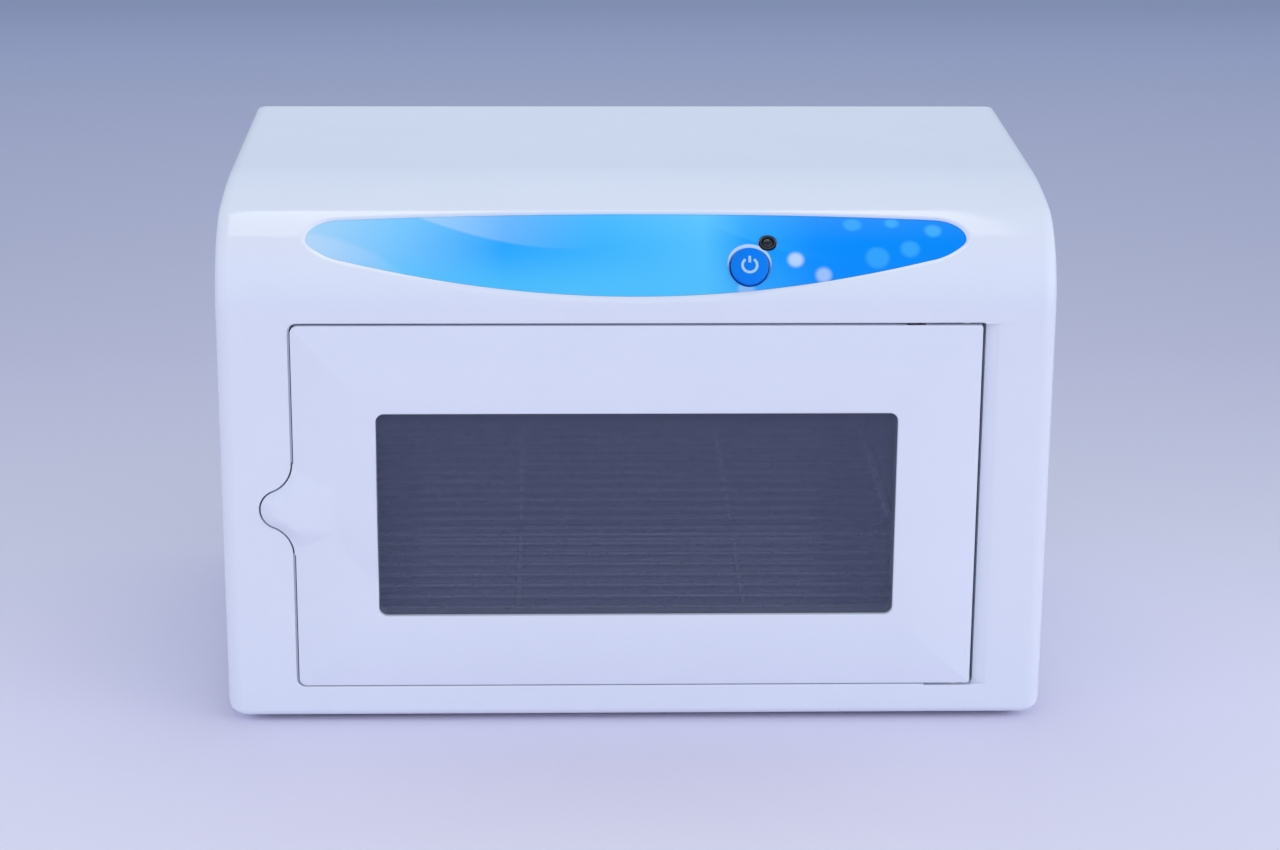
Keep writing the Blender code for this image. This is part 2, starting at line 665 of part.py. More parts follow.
def make_chamber_liner():
    half, sheet = CHAMBER_HALF, SHEET
    front = FLANGE_BACK + GAP
    liner = box("chamber_liner", (-half - sheet, front, CHAMBER_FLOOR - sheet),
                (half + sheet, CHAMBER_BACK, CHAMBER_CEILING + sheet))
    cut(
        liner,
        box("chamber_space", (-half, 0.010, CHAMBER_FLOOR), (half, 0.210, CHAMBER_CEILING)),
        box("lamp_slot", (-0.138, 0.089, CHAMBER_CEILING - 0.002), (0.138, 0.121, CHAMBER_CEILING + 0.004)),
    )
    return paint(liner, "liner_sheet", (0.62, 0.64, 0.68), 0.2, metallic=1.0)


def make_chamber_mirror():
    half = CHAMBER_HALF + SHEET
    mirror = box("chamber_mirror", (-half, CHAMBER_BACK + GAP, CHAMBER_FLOOR - SHEET),
                 (half, CHAMBER_BACK + GAP + 0.0015, CHAMBER_CEILING + SHEET))
    return paint(mirror, "mirror_steel", (0.75, 0.76, 0.78), 0.05, metallic=1.0)


def make_lamp_reflector():
    low = CHAMBER_CEILING + SHEET + GAP
    reflector = box("lamp_reflector", (-0.168, 0.086, low), (0.168, 0.124, 0.2272))
    cut(reflector, box("reflector_trough", (-0.180, 0.0872, 0.190), (0.180, 0.1228, 0.2260)))
    return paint(reflector, "reflector_sheet", (0.8, 0.81, 0.83), 0.12, metallic=1.0)


def make_lamp():
    """A straight tube with a cap and two pins at each end; its sockets hang in the reflector."""
    axis = (0, LAMP_Y, LAMP_Z)
    along = pointing(axis, (1, 0, 0))
    glass = LAMP_END - 0.0075
    bore = LAMP_RADIUS - 0.0010
    tube = turned("lamp_tube", [(LAMP_RADIUS, -glass), (LAMP_RADIUS, glass), (bore, glass), (bore, -glass)],
                  along, 14, bored=True)
    set_origin(tube, axis)
    paint(tube, "lamp_glass", (0.85, 0.88, 0.92), 0.05, alpha=0.4)
    for name, side in (("left", -1), ("right", 1)):
        frame = pointing(axis, (side, 0, 0))
        start = glass + GAP
        cap = turned(f"lamp_cap_{name}", [(0, start), (LAMP_RADIUS, start), (LAMP_RADIUS, LAMP_END),
                                          (0, LAMP_END)], frame, 14)
        for i, z in enumerate((-PIN_SPREAD, PIN_SPREAD)):
            inner = (side * (LAMP_END - 0.003), LAMP_Y, LAMP_Z + z)
            outer = (side * (LAMP_END + 0.007), LAMP_Y, LAMP_Z + z)
            join(cap, rod(f"lamp_pin_{name}_{i}", inner, outer, 0.0012, 6))
        set_origin(cap, axis)
        steel(cap)
        faces = sorted((side * (LAMP_END + 0.0015), side * (LAMP_END + 0.0150)))
        socket = box(f"lamp_socket_{name}", (faces[0], 0.093, 0.2000), (faces[1], 0.117, 0.2257))
        mouth = (side * (LAMP_END - 0.002), LAMP_Y, LAMP_Z)
        well = (side * (LAMP_END + 0.0085), LAMP_Y, LAMP_Z)
        cut(socket, rod(f"socket_well_{name}", mouth, well, 0.0044, 14))
        pale(socket)


# ---------------------------------------------------------------- electrics behind the chamber


def make_electrics():
    ballast = box("ballast", (-0.070, 0.205, 0.0109), (0.058, 0.2290, 0.034))
    for i, side in enumerate((-1, 1)):
        middle = -0.006 + side * 0.071
        join(ballast, box(f"ballast_ear_{i}", (middle - 0.009, 0.2072, 0.0109),
                          (middle + 0.009, 0.2268, 0.0125)))
    paint(ballast, "ballast_lacquer", (0.25, 0.27, 0.30), 0.35, metallic=0.8)

    holder = box("starter_holder", (0.088, 0.206, 0.0109), (0.104, 0.2290, 0.046))
    cut(holder, rod("starter_well", (0.098, 0.2175, 0.031), (0.110, 0.2175, 0.031), 0.0042, 12))
    pale(holder)
    profile = [(0, -0.0045), (0.0030, -0.0045), (0.0030, 0.0003), (0.0102, 0.0003), (0.0105, 0.034),
               (0.0090, 0.0355), (0, 0.0355)]
    starter = turned("starter", profile, pointing((0.1043, 0.2175, 0.031), (1, 0, 0)), 14)
    paint(starter, "starter_can", (0.7, 0.7, 0.68), 0.4)

    block = box("terminal_block", (-0.118, 0.208, 0.0109), (-0.090, 0.2250, 0.024))
    for i in range(3):
        x = -0.113 + 0.009 * i
        cut(block, rod(f"terminal_{i}", (x, 0.213, 0.016), (x, 0.213, 0.030), 0.002, 8))
    pale(block)


def make_wire(name, points, colour):
    """An insulated wire of 2.4 mm along a smooth route."""
    curve = bpy.data.curves.new(name, "CURVE")
    curve.dimensions = "3D"
    curve.bevel_depth = 0.0012
    curve.bevel_resolution = 2
    curve.use_fill_caps = True
    spline = curve.splines.new("POLY")
    route = smooth_route([Vector(point) for point in points])
    spline.points.add(len(route) - 1)
    for point, place in zip(spline.points, route):
        point.co = (*place, 1)
    wire = bpy.data.objects.new(name, curve)
    bpy.context.scene.collection.objects.link(wire)
    wire.parent = ASSEMBLY
    paint(wire, name + "_pvc", colour, 0.5)


def smooth_route(points, steps=3):
    """Points along a Catmull-Rom curve through the route's own points."""
    padded = [points[0]] + points + [points[-1]]
    route = []
    for a, b, c, d in zip(padded, padded[1:], padded[2:], padded[3:]):
        for i in range(steps):
            t = i / steps
            route.append(0.5 * (2 * b + (c - a) * t + (2 * a - 5 * b + 4 * c - d) * t * t
                                + (3 * b - a - 3 * c + d) * t**3))
    return route + [points[-1]]


def make_wires():
    blue, brown, pale_grey = (0.02, 0.08, 0.5), (0.2, 0.07, 0.03), (0.5, 0.5, 0.5)
    make_wire("inlet_lead", [(-0.130, 0.2080, 0.050), (-0.132, 0.2060, 0.038), (-0.128, 0.2080, 0.026),
                             (-0.1200, 0.2120, 0.020)], brown)
    make_wire("board_lead", [(-0.1200, 0.2180, 0.016), (-0.140, 0.2150, 0.020), (-0.158, 0.200, 0.050),
                             (-0.177, 0.160, 0.120), (-0.177, 0.100, 0.190), (-0.166, 0.066, 0.212),
                             (-0.120, 0.050, 0.2180), (-0.060, 0.040, 0.2180), (0.016, 0.0300, 0.2160)], blue)
    make_wire("lamp_lead_left", [(-0.0720, 0.2200, 0.030), (-0.085, 0.2130, 0.065), (-0.130, 0.2130, 0.090),
                                 (-0.158, 0.205, 0.115), (-0.176, 0.170, 0.165), (-0.177, 0.125, 0.205),
                                 (-0.1655, 0.1050, 0.2130)], pale_grey)
    make_wire("lamp_lead_right", [(0.0800, 0.2200, 0.030), (0.080, 0.2150, 0.060), (0.125, 0.2140, 0.090),
                                  (0.158, 0.205, 0.115), (0.176, 0.170, 0.165), (0.177, 0.125, 0.205),
                                  (0.1655, 0.1050, 0.2130)], pale_grey)


# ---------------------------------------------------------------- door catch and interlock


def make_interlock():
    """A finger that hangs into a slot in the door's top edge and is pushed back against its switch."""
    finger = box("interlock_finger", (0.1228, 0.0054, 0.1885), (0.1290, 0.0080, 0.2035))
    join(finger, box("finger_foot", (0.1228, FINGER_FRONT, 0.1885), (0.1290, 0.0060, 0.1918)))
    set_origin(finger, (0.1259, FINGER_FRONT, 0.1900))
    dark(finger)
    switch = box("interlock_switch", (0.1140, 0.0098, 0.1980), (0.1380, 0.0200, 0.2050))
    return dark(switch)


def finger_slot():
    """The slot in the leaf's top edge, open at the back."""
    return box("finger_slot", (SLOT_LEFT, FINGER_FRONT - GAP, 0.1865), (SLOT_RIGHT, 0.0140, 0.1945))


def make_catch():
    catch = box("magnet_catch", (-0.1542, 0.0124, 0.0900), (-0.1458, 0.0200, 0.1200))
    join(catch, box("catch_foot", (-0.1570, 0.0170, 0.0860), (-0.1455, 0.0215, 0.1240)))
    dark(catch)
    strike = plate("strike_plate", rounded(-0.1520, -0.1450, 0.0920, 0.1180, 0.001, 0.001, 1), 0.0108, 0.0119)
    set_origin(strike, LEAF_MIDDLE)
    return steel(strike)


# ---------------------------------------------------------------- door


def leaf_ring(inset, y, left_radius=GAP, right_radius=GAP):
    gap = DOOR_GAP / 2 + inset
    outline = rounded(gap - DOOR_HALF, DOOR_HALF - gap, DOOR_LOW + gap, DOOR_HIGH - gap,
                      max(left_radius, GAP), max(right_radius, GAP))
    return [(x, y, z) for x, z in outline]


def rim_ring(y, inset=0.0):
    """Round the inside of the leaf's rim, which is thicker at the hinge."""
    outline = rounded(RIM_LEFT + inset, RIM_RIGHT - inset, RIM_LOW + inset, RIM_HIGH - inset, 0.001, 0.001)
    return [(x, y, z) for x, z in outline]


def window_outline(grow=0.0, drop=0.0):
    radius = WINDOW_CORNER + grow
    return rounded(WINDOW_LEFT - grow, WINDOW_RIGHT + grow, WINDOW_LOW - grow - drop, WINDOW_HIGH + grow,
                   radius, radius)


def window_ring(y, grow=0.0, drop=0.0):
    return [(x, y, z) for x, z in window_outline(grow, drop)]


def crown(inset):
    """How far the leaf's face stands forward, at a distance in from its edge."""
    return DOOR_CROWN * (1 - (1 - inset / DOOR_CROWN_RUN) ** 2)


def leaf_body():
    """The leaf's face, rim and window rebate, as rings that run round its section."""
    rings = [leaf_ring(0, DOOR_DEPTH, LATCH_CORNER, HINGE_CORNER),
             leaf_ring(0, 0.0012, LATCH_CORNER, HINGE_CORNER),
             leaf_ring(0.0003, 0.0004, LATCH_CORNER, HINGE_CORNER)]
    for inset in (0.0010, 0.005, 0.010, 0.016, 0.023, 0.030):
        rings.append(leaf_ring(inset, -crown(inset), LATCH_CORNER - inset, HINGE_CORNER - inset))
    rings += [
        window_ring(-DOOR_CROWN, 0.0006),
        window_ring(0.0006 - DOOR_CROWN),
        window_ring(PANE_FRONT - GAP),
        window_ring(PANE_FRONT - GAP, PANE_LAP + GAP),
        window_ring(DOOR_SKIN, PANE_LAP + GAP),
        rim_ring(DOOR_SKIN),
        rim_ring(DOOR_DEPTH),
    ]
    return loft("door_frame", rings, loop=True)


def finger_tab():
    """The pull at the latch side: a rounded nose with a level ridge that runs into the leaf."""
    outline = tab_outline(TAB_GROW - DOOR_GAP / 2)
    inner = [(-0.152, TAB_HEIGHT + 0.021), (-0.146, TAB_HEIGHT + 0.010),
             (-0.146, TAB_HEIGHT - 0.010), (-0.152, TAB_HEIGHT - 0.021)]
    outline = outline + list(reversed(inner))
    ridge_tip, ridge_end = -0.1650, -0.1470

    def toward_ridge(share, y):
        ring = []
        for x, z in outline:
            ridge_x = min(max(x, ridge_tip), ridge_end)
            ring.append((x + (ridge_x - x) * share, y, z + (TAB_HEIGHT - z) * share))
        return ring

    rings = [toward_ridge(0, TAB_DEPTH), toward_ridge(0, 0.0008), toward_ridge(0.08, 0.0001),
             toward_ridge(0.45, -0.6 * TAB_RIDGE), toward_ridge(0.8, -0.9 * TAB_RIDGE),
             toward_ridge(1, -TAB_RIDGE)]
    return loft("finger_tab", rings)


def window_boss():
    """The shallow round swelling that the window's edge cuts through."""
    steps = 4
    profile = [(0, 0.0025 - DOOR_CROWN), (DOME_RADIUS, 0.0025 - DOOR_CROWN)]
    for i in range(steps, -1, -1):
        radius = DOME_RADIUS * i / steps
        profile.append((radius, -DOOR_CROWN - dome_rise(radius)))
    flip = Matrix.Translation((DOME_CENTRE[0], 0, DOME_CENTRE[1])) @ Matrix.Rotation(math.pi / 2, 4, "X")
    boss = turned("window_boss", [(r, -y) for r, y in profile], flip, 28)
    clip = box("boss_clip", (DOME_CUT, -0.020, 0.050), (0.020, 0.010, 0.160))
    return cut(boss, clip)


def hinge_end_trim():
    """What lies outside the leaf's round end, seen along the hinge axis."""
    curve = arc((HINGE_X, HINGE_Y), HINGE_ROUND, 62, -62, 10)
    section = curve + [(0.1540, -0.012), (0.1700, -0.012), (0.1700, 0.018), (0.1532, 0.018)]
    return loft("hinge_end_trim", [[(x, y, z) for x, y in section] for z in (0.010, 0.200)])


def hinge_blocks():
    low = (0.1430, 0.0010, 0.0200)
    high = (0.1520, 0.0082, 0.0360)
    lower = box("lower_hinge_block", low, high)
    upper = box("upper_hinge_block", (low[0], low[1], 0.1750), (high[0], high[1], 0.1910))
    return lower, upper


def door_screws():
    """(x, z) of the four screws that hold the liner to the leaf."""
    return [(x, z) for z in (DOOR_SCREW_LOW, DOOR_SCREW_HIGH) for x in (DOOR_SCREW_LEFT, DOOR_SCREW_RIGHT)]


def make_door_frame():
    leaf = leaf_body()
    join(leaf, finger_tab(), window_boss(), *hinge_blocks())
    for i, (x, z) in enumerate(door_screws()):
        join(leaf, rod(f"leaf_post_{i}", (x, 0.0005, z), (x, LINER_FRONT - GAP, z), 0.0035, 10))
    cut(leaf, hinge_end_trim(), finger_slot())
    for i, (x, z) in enumerate(door_screws()):
        cut(leaf, rod(f"leaf_pilot_{i}", (x, 0.0030, z), (x, 0.0200, z), PILOT_RADIUS, 8))
    for i, (low, high) in enumerate(((0.010, 0.0330), (0.1780, 0.200))):
        cut(leaf, rod(f"pin_bore_{i}", (HINGE_X, HINGE_Y, low), (HINGE_X, HINGE_Y, high), 0.0018))
    set_origin(leaf, LEAF_MIDDLE)
    return white(leaf)


def make_door_window():
    pane = plate("door_window", window_outline(PANE_LAP), PANE_FRONT, PANE_BACK)
    set_origin(pane, LEAF_MIDDLE)
    return paint(pane, "smoked_acrylic", (0.10, 0.11, 0.15), 0.05, alpha=0.6)


def make_door_liner():
    rings = [rim_ring(LINER_BACK, GAP), rim_ring(LINER_FRONT, GAP), window_ring(LINER_FRONT, PANE_LAP),
             window_ring(PANE_BACK + GAP, PANE_LAP), window_ring(PANE_BACK + GAP, drop=LINER_DROP),
             window_ring(LINER_BACK, drop=LINER_DROP)]
    liner = loft("door_liner", rings, loop=True)
    for i, (x, z) in enumerate(door_screws()):
        cut(liner, rod(f"liner_hole_{i}", (x, 0.006, z), (x, 0.014, z), CLEAR_RADIUS, 8))
    cut(liner, finger_slot())
    set_origin(liner, LEAF_MIDDLE)
    white(liner)
    for i, (x, z) in enumerate(door_screws()):
        screw = make_screw(f"door_screw_{i + 1}", (x, LINER_BACK + GAP, z), (0, -1, 0), length=0.006)
        set_origin(screw, LEAF_MIDDLE)


def make_hinges():
    """A pin from the leaf turns in a flanged bush at the top and at the bottom."""
    leaf_top = DOOR_HIGH - DOOR_GAP / 2
    leaf_bottom = DOOR_LOW + DOOR_GAP / 2
    for name, edge, up in (("upper", leaf_top, 1), ("lower", leaf_bottom, -1)):
        frame = pointing((HINGE_X, HINGE_Y, edge), (0, 0, up))
        pin = [(0, -0.0135), (PIN_RADIUS, -0.0135), (PIN_RADIUS, 0.0072), (0, 0.0072)]
        piece = turned(f"hinge_pin_{name}", pin, frame, 12)
        set_origin(piece, (HINGE_X, HINGE_Y, edge))
        steel(piece)
        flange, body = 0.00325, 0.0026
        seat = DOOR_GAP - GAP
        bush = [(BUSH_BORE, 0.0004), (flange, 0.0004), (flange, seat), (body, seat), (body, 0.0078),
                (BUSH_BORE, 0.0078)]
        pale(turned(f"hinge_bush_{name}", bush, frame, 16, bored=True))


# ---------------------------------------------------------------- rack


def make_wire_rack():
    """A welded rack: a rounded frame, wires across it, and two bars under the wires."""
    front = RACK_BACK - RACK_PITCH * (RACK_WIRES + 1)
    bar = 0.00175
    path = rounded(-RACK_HALF, RACK_HALF, front, RACK_BACK, 0.007, 0.007, 3)
    middle = Vector((0, (front + RACK_BACK) / 2))
    rings = []
    for i, (x, y) in enumerate(path):
        before, after = Vector(path[i - 1]), Vector(path[(i + 1) % len(path)])
        along = (after - before).normalized()
        out = Vector((along.y, -along.x, 0))
        if out.xy.dot(Vector((x, y)) - middle) < 0:
            out = -out
        section = arc((0, 0), bar, 22.5, 337.5, 7)
        rings.append([Vector((x, y, RACK_HEIGHT + h)) + out * r for r, h in section])
    rack = loft("wire_rack", rings, loop=True)
    for i in range(RACK_WIRES):
        y = RACK_BACK - RACK_PITCH * (i + 1)
        z = RACK_HEIGHT + 0.0006
        join(rack, rod(f"rack_wire_{i}", (-RACK_HALF, y, z), (RACK_HALF, y, z), 0.00125, 6))
    for i, x in enumerate((-RACK_BAR_X, RACK_BAR_X)):
        z = RACK_HEIGHT - 0.0012
        join(rack, rod(f"rack_bar_{i}", (x, front, z), (x, RACK_BACK, z), 0.0014, 8))
    return paint(rack, "rack_chrome", (0.80, 0.81, 0.83), 0.08, metallic=1.0)


clear_scene()
ASSEMBLY = make_assembly()
make_main_housing()
make_rear_cover()
make_base_plate()
make_feet()
make_power_inlet()
make_panel_overlay()
make_power_button()
make_control_board()
make_indicator()
make_chamber_liner()
make_chamber_mirror()
make_lamp_reflector()
make_lamp()
make_electrics()
make_wires()
make_interlock()
make_catch()
make_door_frame()
make_door_window()
make_door_liner()
make_hinges()
make_wire_rack()
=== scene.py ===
"""Looks of a countertop UV sterilizer cabinet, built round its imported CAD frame.

Metres, +Z up. A piece is modelled in the cabinet's own coordinates: X across the front, Y from the front
face to the back, Z up from the surface that it stands on. Each piece is a finer version of one CAD node,
named NODE_shown, and takes its body and its material slot from that node. The other nodes keep their CAD
mesh and get a material.
"""

import json
import math

import bmesh
import bpy
from mathutils import Matrix, Vector
from mathutils.geometry import intersect_point_line

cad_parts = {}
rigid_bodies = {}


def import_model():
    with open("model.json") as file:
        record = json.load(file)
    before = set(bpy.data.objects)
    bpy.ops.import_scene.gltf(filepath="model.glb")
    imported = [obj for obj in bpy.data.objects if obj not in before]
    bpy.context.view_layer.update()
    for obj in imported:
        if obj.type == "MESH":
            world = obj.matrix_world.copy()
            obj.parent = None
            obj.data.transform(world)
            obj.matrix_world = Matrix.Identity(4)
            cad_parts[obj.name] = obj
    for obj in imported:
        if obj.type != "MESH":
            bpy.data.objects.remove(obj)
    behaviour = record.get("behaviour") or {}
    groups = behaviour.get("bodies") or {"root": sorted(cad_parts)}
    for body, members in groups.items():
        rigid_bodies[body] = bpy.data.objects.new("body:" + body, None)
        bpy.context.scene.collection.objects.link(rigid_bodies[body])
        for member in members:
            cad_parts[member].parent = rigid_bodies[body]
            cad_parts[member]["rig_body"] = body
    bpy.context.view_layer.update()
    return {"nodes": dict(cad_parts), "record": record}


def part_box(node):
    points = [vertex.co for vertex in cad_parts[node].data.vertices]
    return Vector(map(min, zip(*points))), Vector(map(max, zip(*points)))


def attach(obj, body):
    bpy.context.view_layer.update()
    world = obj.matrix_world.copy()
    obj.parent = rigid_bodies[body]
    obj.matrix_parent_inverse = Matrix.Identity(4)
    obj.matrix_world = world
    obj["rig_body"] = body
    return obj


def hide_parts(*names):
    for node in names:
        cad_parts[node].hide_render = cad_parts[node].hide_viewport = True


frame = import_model()
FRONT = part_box("main_housing")[0].y  # the front face's place in the frame


def sides_of(node):
    """A CAD node's lowest and highest corner in the cabinet's own coordinates."""
    low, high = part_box(node)
    return Vector((low.x, low.y - FRONT, low.z)), Vector((high.x, high.y - FRONT, high.z))


def middle_of(node):
    low, high = sides_of(node)
    return (low + high) / 2


GAP = 0.0003  # between pieces that touch
SHARP = math.radians(32)
TURN_SIDES = 48

# Housing
HOUSING_LOW, HOUSING_HIGH = sides_of("main_housing")
WIDTH = HOUSING_HIGH.x - HOUSING_LOW.x
DEPTH = HOUSING_HIGH.y
TOP = HOUSING_HIGH.z
FOOT_HEIGHT = HOUSING_LOW.z
WALL = 0.0036
BROW_RADIUS = 0.045  # the curve from the front face up to the lid
BROW_SWEEP = 80.0
CROWN_RADIUS = 0.342  # the gentle curve from the brow to the flat lid
TOE_RADIUS = 0.004
SIDE_RADIUS = 0.007  # rounding of the front face's sides
LID_RADIUS = 0.0055  # rounding of the lid's sides: its width, then its drop
LID_DROP = 0.0018
BASE_RADIUS = 0.0104
BACK_RADIUS = 0.003
CORNER_RADIUS = 0.0014  # the lid's back edge, seen from the side
BROW_START = TOP - (
    BROW_RADIUS * math.sin(math.radians(BROW_SWEEP))
    + CROWN_RADIUS * (1 - math.sin(math.radians(BROW_SWEEP)))
)

# Door leaf
LEAF_LOW, LEAF_HIGH = sides_of("door_frame")
DOOR_GAP = 0.0012  # between the leaf and its pocket
HINGE_GAP = 0.0005  # added to it on the hinge side
DOOR_HALF = LEAF_HIGH.x + DOOR_GAP / 2
DOOR_LOW = LEAF_LOW.z - DOOR_GAP / 2
DOOR_HIGH = LEAF_HIGH.z + DOOR_GAP / 2
DOOR_DEPTH = LEAF_HIGH.y
DOOR_SKIN = 0.0018  # depth of the leaf's inner face
DOOR_CROWN = 0.004  # how far the face swells forward
DOOR_CROWN_RUN = 0.036  # over this distance from the edge
EDGE_ROUND = 0.0005  # rounding of the edges along the gap line
LATCH_CORNER = 0.0035
HINGE_CORNER = 0.0015
POCKET_DEPTH = 0.0136
LEDGE_DEPTH = 0.0024  # behind this a ledge narrows the pocket; under the leaf it starts at the front
LEDGE_REACH = 0.0007
LEDGE_END = 0.135  # it stops here, short of the hinges
FLANGE_BACK = 0.0166  # of the wall round the pocket
TAB_HEIGHT = 0.1053  # height of the finger tab's middle
TAB_CENTRE = 0.1630
TAB_RADIUS = 0.009
TAB_FLARE = 0.022
TAB_DEPTH = 0.006
TAB_CLEARANCE = 0.0023  # behind the tab
TAB_ROOT = 0.150  # the tab's notch runs in to here
TAB_END = 0.130  # and its ridge, which has sunk into the leaf's swell by then
TAB_GROW = 0.0005  # narrows the gap round the tab
TAB_RISE = 0.0034
TAB_FLANK = 0.0062  # the tab's flanks climb over this distance
DOME_CENTRE = (-0.102, 0.105)
DOME_RADIUS = 0.0363
DOME_HEIGHT = 0.0034
DOME_BLEND = 0.0001  # how softly the boss runs out
RIDGE_BLEND = 0.0003  # how softly the tab runs into the leaf's swell, this far in from the edge
RIDGE_RUN = 0.004

# Window, pane and liner
PANE_LOW, PANE_HIGH = sides_of("door_window")
PANE_LAP = 0.003
WINDOW_LEFT, WINDOW_RIGHT = PANE_LOW.x + PANE_LAP, PANE_HIGH.x - PANE_LAP
WINDOW_LOW, WINDOW_HIGH = PANE_LOW.z + PANE_LAP, PANE_HIGH.z - PANE_LAP
WINDOW_CORNER = 0.0038
LINER_BACK = sides_of("door_liner")[1].y
LINER_FRONT = LINER_BACK - 0.002
LINER_DROP = 0.002  # the liner's window reaches this far below the leaf's
RIM_SIDES = (-0.1531, 0.1480, 0.0223, 0.1892)  # inside of the leaf's rim: left, right, low, high
RIM_CORNER = 0.001

# Hinge
HINGE_X, HINGE_Y = middle_of("hinge_pin_upper").xy
HINGE_ROUND = 0.0083  # radius of the leaf's end about the hinge axis
PIN_RADIUS = 0.0015
BUSH_BORE = 0.0017
BUSH_SEAT = 0.0029  # radius of the housing's bore for a bush
PIN_BORES = ((0.010, 0.0330), (0.1780, 0.200))  # heights of the leaf's bores for the pins
HINGE_BLOCKS = [((0.1430, 0.0010, z), (0.1520, 0.0082, z + 0.0160)) for z in (0.0200, 0.1750)]
LINER_POST = 0.0035  # radius of the leaf's posts for the liner's screws
SCOOP_HEIGHTS = (0.0180, 0.1932)

# Chamber
CHAMBER_LOW, CHAMBER_HIGH = sides_of("chamber_liner")
SHEET = 0.0012

# Slot in the door's top edge, which the interlock's finger hangs into
SLOT_LEFT, SLOT_RIGHT = 0.1218, 0.1303
SLOT_LOW, SLOT_HIGH = 0.1865, 0.1945
SLOT_BACK = 0.0140
FINGER_FRONT = sides_of("interlock_finger")[0].y

# Blue panel on the brow, in arc length up from the brow's start
PANEL_LOW, PANEL_MIDDLE, PANEL_HIGH = 0.0118, 0.0401, 0.0572
PANEL_LOW_RADIUS = 0.520
PANEL_HIGH_RADIUS = 1.800
PANEL_STRAIGHT = 0.1352
PANEL_END = 0.014
PANEL_DEPTH = 0.0013
PANEL_THICK = 0.0007
PANEL_RIM_ABOVE = 0.0016  # width of the recess's rim over the panel, and under it
PANEL_RIM_BELOW = 0.0036
PANEL_GROW = 0.0002  # brings the printed film close to the recess's wall
BUTTON_X, BUTTON_ARC = 0.0506, 0.0256
BUTTON_RADIUS = 0.0086
BUTTON_HOLE = 0.009
BUTTON_SWELL = 0.0010  # height of the button's middle above the brow
BUTTON_FALL = 0.0008  # and how much lower its edge is
LIGHT_X, LIGHT_ARC = 0.0591, 0.0379
LIGHT_HOLE = 0.004
BROW_CUT = (-0.009, 0.004)  # cutters through the brow run between these heights over it

PANEL_STOPS = [  # metres across, 8-bit sRGB colour
    (-0.150, (176, 222, 250)), (-0.110, (130, 210, 255)), (-0.060, (46, 178, 255)), (-0.010, (70, 194, 255)),
    (0.030, (92, 204, 255)), (0.050, (30, 170, 255)), (0.080, (0, 150, 255)), (0.150, (0, 146, 252)),
]
# the last of these tones is the deep blue of the painted shade round the button
CYAN, PALE, PAINTED_GAP_SHADE = (92, 210, 255), (216, 236, 255), (14, 66, 170)
PANEL_BANDS = [  # a large circle's middle, radius and soft edge, then strength, where it fades, and tone
    ((-0.030, 0.165), 0.1300, 0.002, 0.40, (-0.110, -0.010), PALE),
    ((-0.165, -0.045), 0.0900, 0.004, 0.45, (-0.160, -0.085), PALE),
    ((0.115, 0.175), 0.1500, 0.001, 0.34, (0.000, 0.100), CYAN),
]
PANEL_DISCS = [  # middle, radius, strength, tone
    ((0.0715, 0.0290), 0.0034, 0.85, PALE),
    ((0.0840, 0.0215), 0.0034, 0.60, PALE),
    ((0.0490, 0.0150), 0.0036, 0.40, PALE),
    ((0.1085, 0.0300), 0.0052, 0.36, CYAN),
    ((0.1235, 0.0345), 0.0042, 0.40, CYAN),
    ((0.1345, 0.0450), 0.0036, 0.55, CYAN),
    ((0.0980, 0.0490), 0.0040, 0.40, CYAN),
    ((0.1160, 0.0500), 0.0030, 0.48, CYAN),
]

# Base and screws
BASE_LEDGE_TOP, BASE_LEDGE_BOTTOM = 0.0106, 0.0076  # of the ledge that the base plate is screwed to
FOOT_BORE = 0.0028
HEAD_HEIGHT = 0.0015
HEAD_RADIUS = 0.003
SHANK_RADIUS = 0.0013
PILOT_RADIUS, CLEAR_RADIUS = 0.0016, 0.0018  # of a hole that a screw bites into, or passes through

# Rear cover
COVER_CORNER = 0.0068
COVER_CUT = (0.225, 0.240)  # cutters through the cover run over this depth
VENT_ROWS, VENT_LOW, VENT_PITCH = 6, 0.150, 0.009
VENT_X = 0.095
VENT_HALF = 0.030
VENT_ROUND = 0.0015

# Inside the housing: the low and high corners of openings, then the blocks that are left standing
BASE_OPENING = ((-0.168, 0.014, 0.006), (0.168, 0.223, 0.014))
BASE_REBATE = ((-0.176, 0.008, 0.001), (0.176, 0.229, BASE_LEDGE_BOTTOM))
FRONT_CUT = (0.010, 0.020)  # cutters through the pocket's floor run over this depth
CHAMBER_MOUTH = ((-0.1425, FRONT_CUT[0], 0.022), (0.1425, FRONT_CUT[1], 0.186))
CATCH_HOLE = ((-0.1546, FRONT_CUT[0], 0.0896), (-0.1454, FRONT_CUT[1], 0.1204))
FINGER_PASSAGE = ((SLOT_LEFT, 0.0048, 0.190), (SLOT_RIGHT, 0.0102, 0.200))
DOOR_SURROUND = ((-0.1765, 0.001, 0.0), (0.1685, FLANGE_BACK, 0.1975))
KNUCKLES = ((0.190, 0.2035), (0.002, 0.021))  # heights of the blocks round the hinge pins
KNUCKLE_RADIUS = 0.007
POST_HALF = 0.006
POST_FRONT = 0.206
POST_DROP = 0.0135  # how far a lower post reaches under its screw
POST_SIDE = 0.188  # the posts run out to here, into the side walls


# ---------------------------------------------------------------- modelling tools


def soften(obj):
    obj.data.shade_smooth()
    obj.data.set_sharp_from_angle(angle=SHARP)
    return obj


